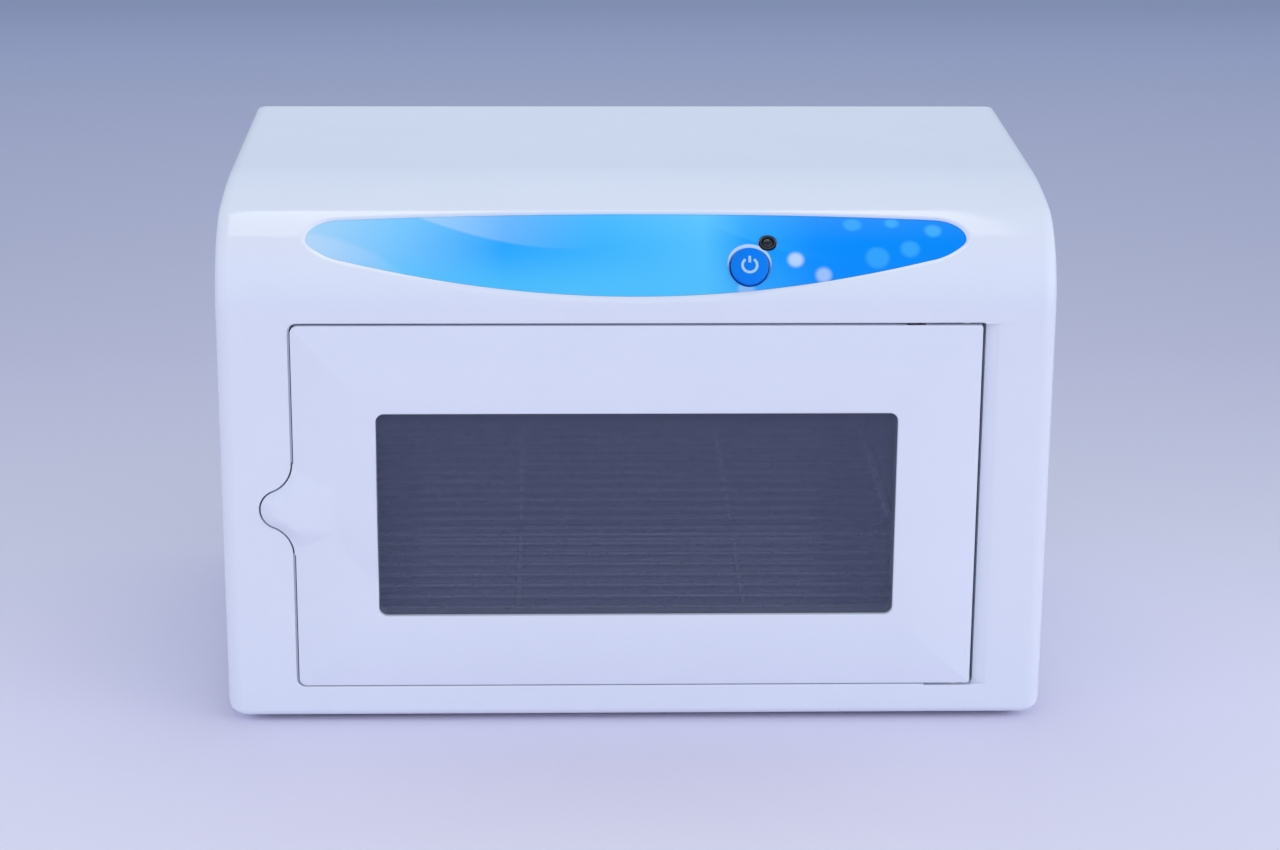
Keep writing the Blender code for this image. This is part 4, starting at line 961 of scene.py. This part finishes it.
def leaf_outline(inset, share=0.0, with_tab=True):
    """A line round the leaf: inset from its outer edge, then a share of the way to the window's edge."""
    edge = DOOR_GAP / 2 + inset
    outer = (edge - DOOR_HALF, DOOR_HALF - edge, DOOR_LOW + edge, DOOR_HIGH - edge)
    window = (WINDOW_LEFT, WINDOW_RIGHT, WINDOW_LOW, WINDOW_HIGH)
    left, right, low, high = [a + (b - a) * share for a, b in zip(outer, window)]
    travelled = inset + share * (WINDOW_LEFT + DOOR_HALF)
    near, far = [max(corner - travelled, GAP) for corner in (LATCH_CORNER, HINGE_CORNER)]
    if share == 1:
        near = far = WINDOW_CORNER
    rows = [(x + (WINDOW_LEFT - x) * share, z + (window_height(z) - z) * share)
            for x, z in latch_rows(inset, with_tab)]
    return rounded(left, right, low, high, near, far) + rows


def leaf_face(share, outline):
    """A ring of the leaf's swollen face."""
    ring = []
    run = WINDOW_LEFT + DOOR_HALF - DOOR_GAP / 2
    points = leaf_outline(EDGE_ROUND, share)
    corners = len(points) - len(latch_rows(EDGE_ROUND))
    for i, (x, z) in enumerate(points):
        inset = share * run if i < corners else x + DOOR_HALF - DOOR_GAP / 2 - EDGE_ROUND
        rise = crown(inset)
        if i >= corners:
            rise = larger(rise, tab_rise(x, z, outline), RIDGE_BLEND * smooth_step(inset, 0, RIDGE_RUN))
            rise += dome_rise(x, z)
        ring.append((x, -rise, z))
    return ring


def grown(ring, grow):
    """A ring round the window, moved outwards from its edge."""
    span_x, span_z = WINDOW_RIGHT - WINDOW_LEFT, WINDOW_HIGH - WINDOW_LOW
    middle_x, middle_z = (WINDOW_RIGHT + WINDOW_LEFT) / 2, (WINDOW_HIGH + WINDOW_LOW) / 2
    scale_x, scale_z = 1 + 2 * grow / span_x, 1 + 2 * grow / span_z
    return [(middle_x + (x - middle_x) * scale_x, y, middle_z + (z - middle_z) * scale_z) for x, y, z in ring]


def leaf_body():
    """The leaf's face, rim and window rebate, as rings that run round its section."""
    tab = set(latch_rows(0)) - set(latch_rows(0, with_tab=False))
    depths = [TAB_DEPTH if point in tab else DOOR_DEPTH for point in leaf_outline(0)]
    straight = leaf_outline(0, with_tab=False)
    rings = [
        [(x, DOOR_DEPTH, z) for x, z in straight],
        [(x, y, z) for (x, z), y in zip(straight, depths)],
        [(x, y, z) for (x, z), y in zip(leaf_outline(0), depths)],
    ]
    for degrees in (0, 22, 45, 68):
        turn = math.radians(degrees)
        inset = EDGE_ROUND * (1 - math.cos(turn))
        rings.append([(x, EDGE_ROUND * (1 - math.sin(turn)), z) for x, z in leaf_outline(inset)])
    outline = [point for point in latch_rows(EDGE_ROUND) if abs(point[1] - TAB_HEIGHT) < 2 * TAB_FLARE]
    steps, lip = 46, 0.0006
    rings += [leaf_face(k / steps, outline) for k in range(steps)]
    edge = leaf_face(1, outline)
    for degrees in (0, 30, 60, 90):
        turn = math.radians(degrees)
        back = lip * (1 - math.cos(turn))
        rings.append([(x, y + back, z) for x, y, z in grown(edge, lip * (1 - math.sin(turn)))])
    rebate, rim = grown(edge, PANE_LAP + GAP), rim_ring(edge)
    seat = PANE_LOW.y - GAP
    backs = [(edge, seat), (rebate, seat), (rebate, DOOR_SKIN), (rim, DOOR_SKIN), (rim, DOOR_DEPTH)]
    rings += [[(point[0], depth, point[-1]) for point in ring] for ring, depth in backs]
    return loft("leaf", rings, loop=True)


def rim_ring(edge):
    """Round the inside of the leaf's rim, in step with a ring round the window."""
    left, right, low, high = RIM_SIDES
    corners = rounded(left, right, low, high, RIM_CORNER, RIM_CORNER)
    rows = edge[len(corners):]
    scale = (high - low - 2 * RIM_CORNER) / (WINDOW_HIGH - WINDOW_LOW - 2 * WINDOW_CORNER)
    window_middle, rim_middle = (WINDOW_HIGH + WINDOW_LOW) / 2, (high + low) / 2
    return corners + [(left, rim_middle + (z - window_middle) * scale) for _, _, z in rows]


def hinge_end_trim():
    """What lies outside the leaf's round end, seen along the hinge axis."""
    curve = arc((HINGE_X, HINGE_Y), HINGE_ROUND, 62, -62, 40)
    section = curve + [(0.1540, -0.012), (0.1700, -0.012), (0.1700, 0.018), (0.1532, 0.018)]
    return column("hinge_end_trim", section, 0.010, 0.200)


def finger_slot():
    """The slot in the leaf's top edge, open at the back."""
    low = (SLOT_LEFT, FINGER_FRONT - GAP, SLOT_LOW)
    return box("finger_slot", low, (SLOT_RIGHT, SLOT_BACK, SLOT_HIGH))


def door_screws():
    """(x, z) of the four screws that hold the liner to the leaf."""
    return [middle_of(f"door_screw_{i}").xz for i in range(1, 5)]


def make_door_frame():
    leaf = leaf_body()
    blocks = [box("hinge_block", low, high) for low, high in HINGE_BLOCKS]
    posts = drilled("post", door_screws(), (0.0005, LINER_FRONT - GAP), LINER_POST)
    join(leaf, *blocks, *posts)
    cut(leaf, hinge_end_trim(), finger_slot())
    cut(leaf, *drilled("pilot", door_screws(), (0.0030, 0.0200), PILOT_RADIUS))
    for bore in on_hinge("pin_bore", PIN_BORES, CLEAR_RADIUS):
        cut(leaf, bore)
    stand_for(leaf, "door_frame")


def make_sheet(node, corner):
    """A flat piece with rounded corners and softened edges."""
    low, high = sides_of(node)
    sheet = plate(node, rounded(low.x, high.x, low.z, high.z, corner, corner), low.y, high.y)
    stand_for(round_edges(sheet, 0.0002), node)


def make_door_liner():
    """A sheet with a collar round its window, which clamps the pane's edge."""
    low, high = sides_of("door_liner")
    corner, reach = WINDOW_CORNER, WINDOW_CORNER + PANE_LAP
    outer = rounded(low.x, high.x, low.z, high.z, 0.001, 0.001)
    window = rounded(WINDOW_LEFT, WINDOW_RIGHT, WINDOW_LOW - LINER_DROP, WINDOW_HIGH, corner, corner)
    clamp = rounded(PANE_LOW.x, PANE_HIGH.x, PANE_LOW.z, PANE_HIGH.z, reach, reach)
    collar = PANE_HIGH.y + GAP
    layers = [
        (LINER_BACK, outer), (LINER_FRONT, outer), (LINER_FRONT, clamp),
        (collar, clamp), (collar, window), (LINER_BACK, window),
    ]
    liner = round_edges(stack("liner", layers, loop=True), 0.0003, 2)
    cut(liner, finger_slot(), *drilled("hole", door_screws(), (0.006, 0.014), CLEAR_RADIUS))
    stand_for(liner, "door_liner")


def make_hinges():
    """A pin from the leaf turns in a flanged bush at the top and at the bottom."""
    tip, root, end = 0.0003, -0.0135, 0.0072
    pin = [
        (0, root), (PIN_RADIUS - tip, root), (PIN_RADIUS, root + tip),
        (PIN_RADIUS, end - tip), (PIN_RADIUS - tip, end), (0, end),
    ]
    flange, body, chamfer = 0.00325, 0.0026, 0.0002
    face, seat, top = 0.0004, DOOR_GAP - GAP, 0.0078
    bush = [
        (BUSH_BORE, face), (flange - chamfer, face), (flange, face + chamfer), (flange, seat),
        (body, seat), (body, top), (BUSH_BORE, top),
    ]
    for name, edge, up in (("upper", LEAF_HIGH.z, 1), ("lower", LEAF_LOW.z, -1)):
        place = pointing((HINGE_X, HINGE_Y, edge), (0, 0, up))
        stand_for(turned("pin", pin, place), f"hinge_pin_{name}")
        stand_for(turned("bush", bush, place, bored=True), f"hinge_bush_{name}")


# ---------------------------------------------------------------- materials


def linear(red, green, blue):
    """A colour given in 8-bit sRGB, as a shader takes it."""
    shares = [value / 255 for value in (red, green, blue)]
    return [s / 12.92 if s <= 0.04045 else ((s + 0.055) / 1.055) ** 2.4 for s in shares]


def new_material(name, colour, roughness, metallic=0.0, alpha=1.0):
    material = bpy.data.materials.new(name)
    material.use_nodes = True
    shader = material.node_tree.nodes["Principled BSDF"]
    shader.inputs["Base Color"].default_value = (*colour, 1)
    shader.inputs["Roughness"].default_value = roughness
    shader.inputs["Metallic"].default_value = metallic
    shader.inputs["Alpha"].default_value = alpha
    return material


def add_node(material, kind, **settings):
    """A new node in a material, or in the world."""
    node = material.node_tree.nodes.new(kind)
    for key, value in settings.items():
        setattr(node, key, value)
    return node


def wire(material, source, target):
    """Links an output to an input, or sets the input to a plain value."""
    if isinstance(source, bpy.types.NodeSocket):
        material.node_tree.links.new(source, target)
    else:
        target.default_value = source


def set_shader(material, name, source):
    """Sets one of a material's shader inputs to a value or to an output."""
    wire(material, source, material.node_tree.nodes["Principled BSDF"].inputs[name])


def object_axes(material):
    """X, Y and Z of a point in its object's coordinates."""
    place = add_node(material, "ShaderNodeTexCoord")
    axes = add_node(material, "ShaderNodeSeparateXYZ")
    wire(material, place.outputs["Object"], axes.inputs[0])
    return axes.outputs


def maths(material, operation, *values):
    node = add_node(material, "ShaderNodeMath", operation=operation)
    for value, target in zip(values, node.inputs):
        wire(material, value, target)
    return node.outputs[0]


def noise(material, scale, stretch=(1, 1, 1), detail=3.0):
    """Noise over the object, with features of about 1 / scale metres."""
    place = add_node(material, "ShaderNodeTexCoord")
    mapping = add_node(material, "ShaderNodeMapping")
    mapping.inputs["Scale"].default_value = stretch
    wire(material, place.outputs["Object"], mapping.inputs["Vector"])
    texture = add_node(material, "ShaderNodeTexNoise")
    texture.inputs["Scale"].default_value = scale
    texture.inputs["Detail"].default_value = detail
    wire(material, mapping.outputs[0], texture.inputs["Vector"])
    return texture.outputs["Fac"]


def between(material, value, low, high, from_low=0.3, from_high=0.7):
    """A value carried into another range, smoothly."""
    node = add_node(material, "ShaderNodeMapRange", interpolation_type="SMOOTHSTEP")
    for name, setting in (("Value", value), ("From Min", from_low), ("From Max", from_high),
                          ("To Min", low), ("To Max", high)):
        wire(material, setting, node.inputs[name])
    return node.outputs["Result"]


def mixed(material, share, first, second):
    """A blend of two colours, each a colour or an output."""
    node = add_node(material, "ShaderNodeMix", data_type="RGBA")
    wire(material, share, node.inputs["Factor"])
    for value, target in ((first, node.inputs[6]), (second, node.inputs[7])):
        wire(material, value if isinstance(value, bpy.types.NodeSocket) else (*value, 1), target)
    return node.outputs[2]


def colour_ramp(material, value, stops):
    """A colour for each value, from stops of (value, 8-bit sRGB colour)."""
    first, last = stops[0][0], stops[-1][0]
    node = add_node(material, "ShaderNodeValToRGB")
    offset = maths(material, "SUBTRACT", value, first)
    wire(material, maths(material, "DIVIDE", offset, last - first), node.inputs["Fac"])
    elements = node.color_ramp.elements
    while len(elements) < len(stops):
        elements.new(0.5)
    for element, (position, colour) in zip(elements, stops):
        element.position = (position - first) / (last - first)
        element.color = (*linear(*colour), 1)
    return node.outputs["Color"]


def shade(colour, share):
    return [channel * share for channel in colour]


def vary(material, texture, colour, spread, roughness):
    """Lets a texture move the colour's lightness and the roughness between two values."""
    blend = between(material, texture, 0.0, 1.0)
    set_shader(material, "Base Color", mixed(material, blend, shade(colour, 1 - spread), colour))
    set_shader(material, "Roughness", between(material, texture, *roughness))


def bump(material, texture, height):
    """Raises the surface by a texture, to a height in metres."""
    node = add_node(material, "ShaderNodeBump")
    node.inputs["Distance"].default_value = height
    wire(material, texture, node.inputs["Height"])
    set_shader(material, "Normal", node.outputs[0])


def moulded(name, colour, roughness, spread=0.03, grain=1400, height=0.000004):
    """Moulded plastic: a faint skin texture over soft patches of gloss."""
    material = new_material(name, colour, roughness[0])
    vary(material, noise(material, 22), colour, spread, roughness)
    bump(material, noise(material, grain, detail=1.0), height)
    return material


def white_abs():
    material = moulded("white_abs", linear(236, 240, 250), (0.07, 0.10), 0.012, 900, 0.0000004)
    set_shader(material, "IOR", 1.53)
    return material


def button_plastic():
    material = moulded("button_blue", linear(0, 134, 246), (0.28, 0.34), 0.05)
    set_shader(material, "Specular IOR Level", 0.1)
    return material


def brushed(name, colour, roughness, stretch=(1, 40, 40), grain=60):
    """Drawn sheet metal, with its grain along X."""
    material = new_material(name, colour, roughness[0], metallic=1.0)
    lines = noise(material, grain, stretch)
    vary(material, lines, colour, 0.10, roughness)
    bump(material, lines, 0.000004)
    return material


def chrome():
    colour = (0.96, 0.97, 1.0)
    material = new_material("rack_chrome", colour, 0.3, metallic=0.85)
    vary(material, noise(material, 180), colour, 0.06, (0.26, 0.36))
    return material


def patchy(name, colour, scale, roughness, alpha=1.0):
    """A plain colour whose gloss moves between two values, in patches."""
    material = new_material(name, colour, roughness[0], alpha=alpha)
    set_shader(material, "Roughness", between(material, noise(material, scale), *roughness))
    return material


def smoked_acrylic():
    """Dark clear sheet: what is behind it shows through, and its face mirrors."""
    material = patchy("smoked_acrylic", (0.090, 0.108, 0.200), 9, (0.02, 0.045), alpha=0.42)
    set_shader(material, "IOR", 1.60)
    return material


def clear_glass():
    return patchy("lamp_glass", (0.86, 0.90, 0.95), 30, (0.03, 0.08), alpha=0.28)


def print_white():
    return patchy("button_print", linear(178, 214, 255), 900, (0.3, 0.42))


def circuit_board():
    """Green solder mask with paler tracks."""
    material = new_material("board_green", (0.02, 0.16, 0.06), 0.35)
    place = add_node(material, "ShaderNodeTexCoord")
    tracks = add_node(material, "ShaderNodeTexBrick")
    tracks.inputs["Scale"].default_value = 260
    tracks.inputs["Mortar Size"].default_value = 0.06
    wire(material, place.outputs["Object"], tracks.inputs["Vector"])
    colour = mixed(material, tracks.outputs["Fac"], (0.015, 0.13, 0.05), (0.04, 0.25, 0.10))
    set_shader(material, "Base Color", colour)
    return material


def panel_place(material):
    """Where a point of the panel is: metres across, and metres of arc up the brow."""
    axes = object_axes(material)
    inward = maths(material, "SUBTRACT", BROW_RADIUS, axes["Y"])
    upward = maths(material, "SUBTRACT", axes["Z"], BROW_START)
    turn = maths(material, "ARCTAN2", upward, inward)
    return axes["X"], maths(material, "MULTIPLY", turn, BROW_RADIUS)


def disc(material, across, along, centre, radius, soft):
    """1 inside a circle on the panel and 0 outside it, with a soft edge."""
    x = maths(material, "SUBTRACT", across, centre[0])
    y = maths(material, "SUBTRACT", along, centre[1])
    squares = maths(material, "ADD", maths(material, "MULTIPLY", x, x), maths(material, "MULTIPLY", y, y))
    distance = maths(material, "SQRT", squares)
    return between(material, distance, 1.0, 0.0, radius - soft / 2, radius + soft / 2)


def printed(material, colour, inside, strength, tone):
    """A colour with an 8-bit sRGB tone laid over it, as strongly as inside times strength."""
    return mixed(material, maths(material, "MULTIPLY", inside, strength), colour, linear(*tone))


def panel_print():
    """A printed film: a blue field that deepens to the right, with sweeping bands and soft discs; round the
    button, a painted highlight above it and a ring of painted shade.
    """
    material = new_material("panel_blue", linear(60, 170, 255), 0.28)
    across, along = panel_place(material)
    colour = colour_ramp(material, across, PANEL_STOPS)
    low_glow = between(material, along, 0.85, 0.0, 0.012, 0.036)
    fade_right = between(material, across, 1.0, 0.0, -0.02, 0.10)
    colour = printed(material, colour, low_glow, fade_right, CYAN)
    for centre, radius, soft, strength, (full, none), tone in PANEL_BANDS:
        inside = disc(material, across, along, centre, radius, soft)
        fade = between(material, across, strength, 0.0, full, none)
        colour = printed(material, colour, inside, fade, tone)
    for centre, radius, strength, tone in PANEL_DISCS:
        inside = disc(material, across, along, centre, radius, 0.0028)
        colour = printed(material, colour, inside, strength, tone)
    # Painted highlight: a pale crescent over the button, standing in for light caught on the button's rounded
    # top edge.
    painted_highlight = disc(material, across, along, (BUTTON_X, BUTTON_ARC + 0.0017), BUTTON_RADIUS + 0.0012, 0.0008)
    colour = printed(material, colour, painted_highlight, 0.85, PALE)
    # Painted shade: a dark ring round the button's hole, standing in for shade in the gap round the button.
    ring = disc(material, across, along, (BUTTON_X, BUTTON_ARC), BUTTON_RADIUS + 0.0009, 0.0003)
    colour = printed(material, colour, ring, 1.0, PAINTED_GAP_SHADE)
    set_shader(material, "Base Color", colour)
    set_shader(material, "Specular IOR Level", 0.08)
    bump(material, noise(material, 2600, detail=1.0), 0.000002)
    return material


MATERIALS = {}
MOULDED = {  # slot: colour, roughness, spread of the colour, and the skin's grain and height
    "black_plastic": ((0.022, 0.022, 0.026), (0.4, 0.55), 0.2, 900, 0.00001),
    "nylon": ((0.74, 0.73, 0.69), (0.38, 0.5), 0.06),
    "lens_smoke": ((0.010, 0.013, 0.024), (0.1, 0.16), 0.2),
    "led_clear": ((0.60, 0.72, 0.86), (0.12, 0.2), 0.1),
    "ballast_lacquer": ((0.22, 0.24, 0.27), (0.3, 0.45), 0.15, 500, 0.00002),
    "starter_can": ((0.68, 0.68, 0.66), (0.3, 0.42), 0.08),
    "foot_rubber": ((0.035, 0.035, 0.04), (0.65, 0.85), 0.25, 700, 0.00002),
    "wire_brown": ((0.20, 0.07, 0.03), (0.4, 0.55), 0.15),
    "wire_blue": ((0.02, 0.08, 0.50), (0.4, 0.55), 0.15),
    "wire_grey": ((0.50, 0.50, 0.50), (0.4, 0.55), 0.15),
}
BRUSHED = {  # slot: colour, roughness, and the grain's stretch and scale
    "fastener_steel": ((0.58, 0.59, 0.62), (0.22, 0.38), (1, 1, 1), 700),
    # liner_sheet: the chamber's steel, made darker and bluer than bare steel as painted shade of the dim
    # chamber inside
    "liner_sheet": ((0.34, 0.36, 0.42), (0.14, 0.24)),
    "reflector_sheet": ((0.82, 0.83, 0.85), (0.08, 0.16)),
    "mirror_steel": ((0.70, 0.72, 0.76), (0.03, 0.07), (1, 30, 30), 50),
    "lamp_cap_metal": ((0.80, 0.81, 0.82), (0.2, 0.32), (1, 1, 1), 500),
}
MAKERS = {
    "white_abs": white_abs,
    "panel_blue": panel_print,
    "button_blue": button_plastic,
    "rack_chrome": chrome,
    "lamp_glass": clear_glass,
    "smoked_acrylic": smoked_acrylic,
    "board_green": circuit_board,
}
SLOT_OF = {part["node"]: part["material_slot"] for part in frame["record"]["subparts"]}


def material_for(slot):
    """The material of a slot in the record, made once."""
    if slot not in MATERIALS:
        if slot in MOULDED:
            MATERIALS[slot] = moulded(slot, *MOULDED[slot])
        elif slot in BRUSHED:
            MATERIALS[slot] = brushed(slot, *BRUSHED[slot])
        else:
            MATERIALS[slot] = MAKERS[slot]()
    return MATERIALS[slot]


def dress(obj, material):
    obj.data.materials.clear()
    obj.data.materials.append(material)
    shading = obj.modifiers.new("shading", "WEIGHTED_NORMAL")
    shading.keep_sharp = True


def stand_for(obj, node):
    """Puts a finished piece in place of a CAD node, on its body and with its material."""
    obj.name = node + "_shown"
    obj.data.name = obj.name
    dress(obj, material_for(SLOT_OF[node]))
    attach(obj, frame["nodes"][node]["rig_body"])
    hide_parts(node)


def dress_cad_nodes():
    """Gives the nodes that keep their CAD mesh their material, and takes the edge off the boxy ones."""
    for name, node in frame["nodes"].items():
        if node.hide_render:
            continue
        for slot in node.material_slots:
            slot.material = material_for(SLOT_OF[name])
        bevel = node.modifiers.new("edges", "BEVEL")
        bevel.width = 0.00025
        bevel.segments = 2
        bevel.limit_method = "ANGLE"
        bevel.angle_limit = math.radians(50)


# ---------------------------------------------------------------- stage, light and camera

TENT_LOBES = [  # axis, sharpness, radiance
    ((-1.0, 0.0, 0.35), 4, (0.69, 0.73, 0.82)),
    ((1.0, 0.0, 0.35), 4, (0.98, 1.03, 1.10)),
    ((-0.8, -0.7, 0.3), 4, (0.64, 0.68, 0.84)),
    ((0.8, -0.7, 0.3), 4, (0.94, 1.00, 1.19)),
    ((0.0, -0.7, 0.7), 4, (0.52, 0.56, 0.64)),
    ((0.0, 1.0, 0.5), 3, (0.43, 0.54, 0.74)),
]
OVERHEAD_POWER = 2.9
OVERHEAD_COLOUR = (1.0, 1.0, 0.81)
OVERHEAD_SIZE = (0.62, 0.99)
OVERHEAD_Y, OVERHEAD_HEIGHT = 0.395, 1.2
CAMERA_LENS = 87.62
CAMERA_PLACE = (-0.0365, -1.4630, 0.5764)
CAMERA_TURN = (1.61, 17.7, 0.35)  # yaw, pitch and roll in degrees
# The paper's colour with painted light: brighter in front, with painted falloff that darkens it further back.
PAPER_AND_PAINTED_FALLOFF_STOPS = [  # distance behind the cabinet's middle, 8-bit sRGB colour
    (-0.30, (246, 241, 255)), (-0.10, (237, 232, 250)), (0.05, (229, 226, 244)), (0.20, (218, 217, 235)),
    (0.30, (210, 210, 229)), (0.50, (196, 196, 219)), (0.77, (186, 189, 212)), (1.10, (181, 184, 209)),
    (1.31, (175, 180, 205)), (1.50, (168, 177, 205)), (1.65, (161, 170, 199)), (1.80, (150, 160, 189)),
]


def make_floor():
    """A pale sweep of paper with painted light: brighter in front of the cabinet, with painted falloff that
    darkens it away from the camera.
    """
    half = 6.0
    mesh = bpy.data.meshes.new("floor")
    corners = [(-half, -half, 0), (half, -half, 0), (half, half, 0), (-half, half, 0)]
    mesh.from_pydata(corners, [], [(0, 1, 2, 3)])
    floor = bpy.data.objects.new("floor", mesh)
    bpy.context.scene.collection.objects.link(floor)
    material = new_material("paper", linear(220, 220, 236), 0.8)
    colour = colour_ramp(material, object_axes(material)["Y"], PAPER_AND_PAINTED_FALLOFF_STOPS)
    set_shader(material, "Base Color", colour)
    mesh.materials.append(material)


def make_overhead():
    """A softbox that faces straight down."""
    light = bpy.data.lights.new("overhead", "AREA")
    light.shape = "RECTANGLE"
    light.size, light.size_y = OVERHEAD_SIZE
    light.energy = OVERHEAD_POWER
    light.color = OVERHEAD_COLOUR
    lamp = bpy.data.objects.new("overhead", light)
    bpy.context.scene.collection.objects.link(lamp)
    lamp.location = (0, OVERHEAD_Y, OVERHEAD_HEIGHT)
    lamp.rotation_euler = Vector((0, 0, -1)).to_track_quat("-Z", "Y").to_euler()
    lamp.visible_camera = False


def make_world():
    """A light tent: soft lobes of light round the cabinet, each about an axis, with no edges to mirror."""
    world = bpy.data.worlds.new("tent")
    bpy.context.scene.world = world
    world.use_nodes = True
    place = add_node(world, "ShaderNodeTexCoord")
    total = (0, 0, 0)
    for axis, sharpness, radiance in TENT_LOBES:
        facing = add_node(world, "ShaderNodeVectorMath", operation="DOT_PRODUCT")
        wire(world, place.outputs["Generated"], facing.inputs[0])
        wire(world, Vector(axis).normalized(), facing.inputs[1])
        front = maths(world, "MAXIMUM", facing.outputs["Value"], 0)
        tint = add_node(world, "ShaderNodeVectorMath", operation="SCALE")
        wire(world, radiance, tint.inputs[0])
        wire(world, maths(world, "POWER", front, sharpness), tint.inputs["Scale"])
        both = add_node(world, "ShaderNodeVectorMath", operation="ADD")
        wire(world, total, both.inputs[0])
        wire(world, tint.outputs[0], both.inputs[1])
        total = both.outputs[0]
    wire(world, total, world.node_tree.nodes["Background"].inputs["Color"])


def make_camera():
    """A long lens, a little above the cabinet and looking down at it."""
    camera = bpy.data.objects.new("camera", bpy.data.cameras.new("camera"))
    bpy.context.scene.collection.objects.link(camera)
    camera.data.lens = CAMERA_LENS
    camera.data.sensor_width = 36.0
    yaw, pitch, roll = [math.radians(degrees) for degrees in CAMERA_TURN]
    forward = Vector((math.sin(yaw) * math.cos(pitch), math.cos(yaw) * math.cos(pitch), -math.sin(pitch)))
    level = Vector((math.cos(yaw), -math.sin(yaw), 0))
    upward = level.cross(forward)
    right = level * math.cos(roll) + upward * math.sin(roll)
    up = upward * math.cos(roll) - level * math.sin(roll)
    turn = Matrix((right, up, -forward)).transposed().to_4x4()
    camera.matrix_world = Matrix.Translation(CAMERA_PLACE) @ turn
    bpy.context.scene.camera = camera
    bpy.context.scene.view_settings.view_transform = "Standard"


make_camera()
make_world()
make_overhead()
make_floor()
make_housing()
make_rear_cover()
make_base_plate()
make_feet()
make_screws()
make_power_inlet()
make_panel_overlay()
make_power_button()
make_power_symbol()
make_indicator()
make_chamber_liner()
make_wire_rack()
make_lamp()
make_door_frame()
make_sheet("door_window", WINDOW_CORNER + PANE_LAP)
make_door_liner()
make_hinges()
make_sheet("strike_plate", 0.001)
dress_cad_nodes()
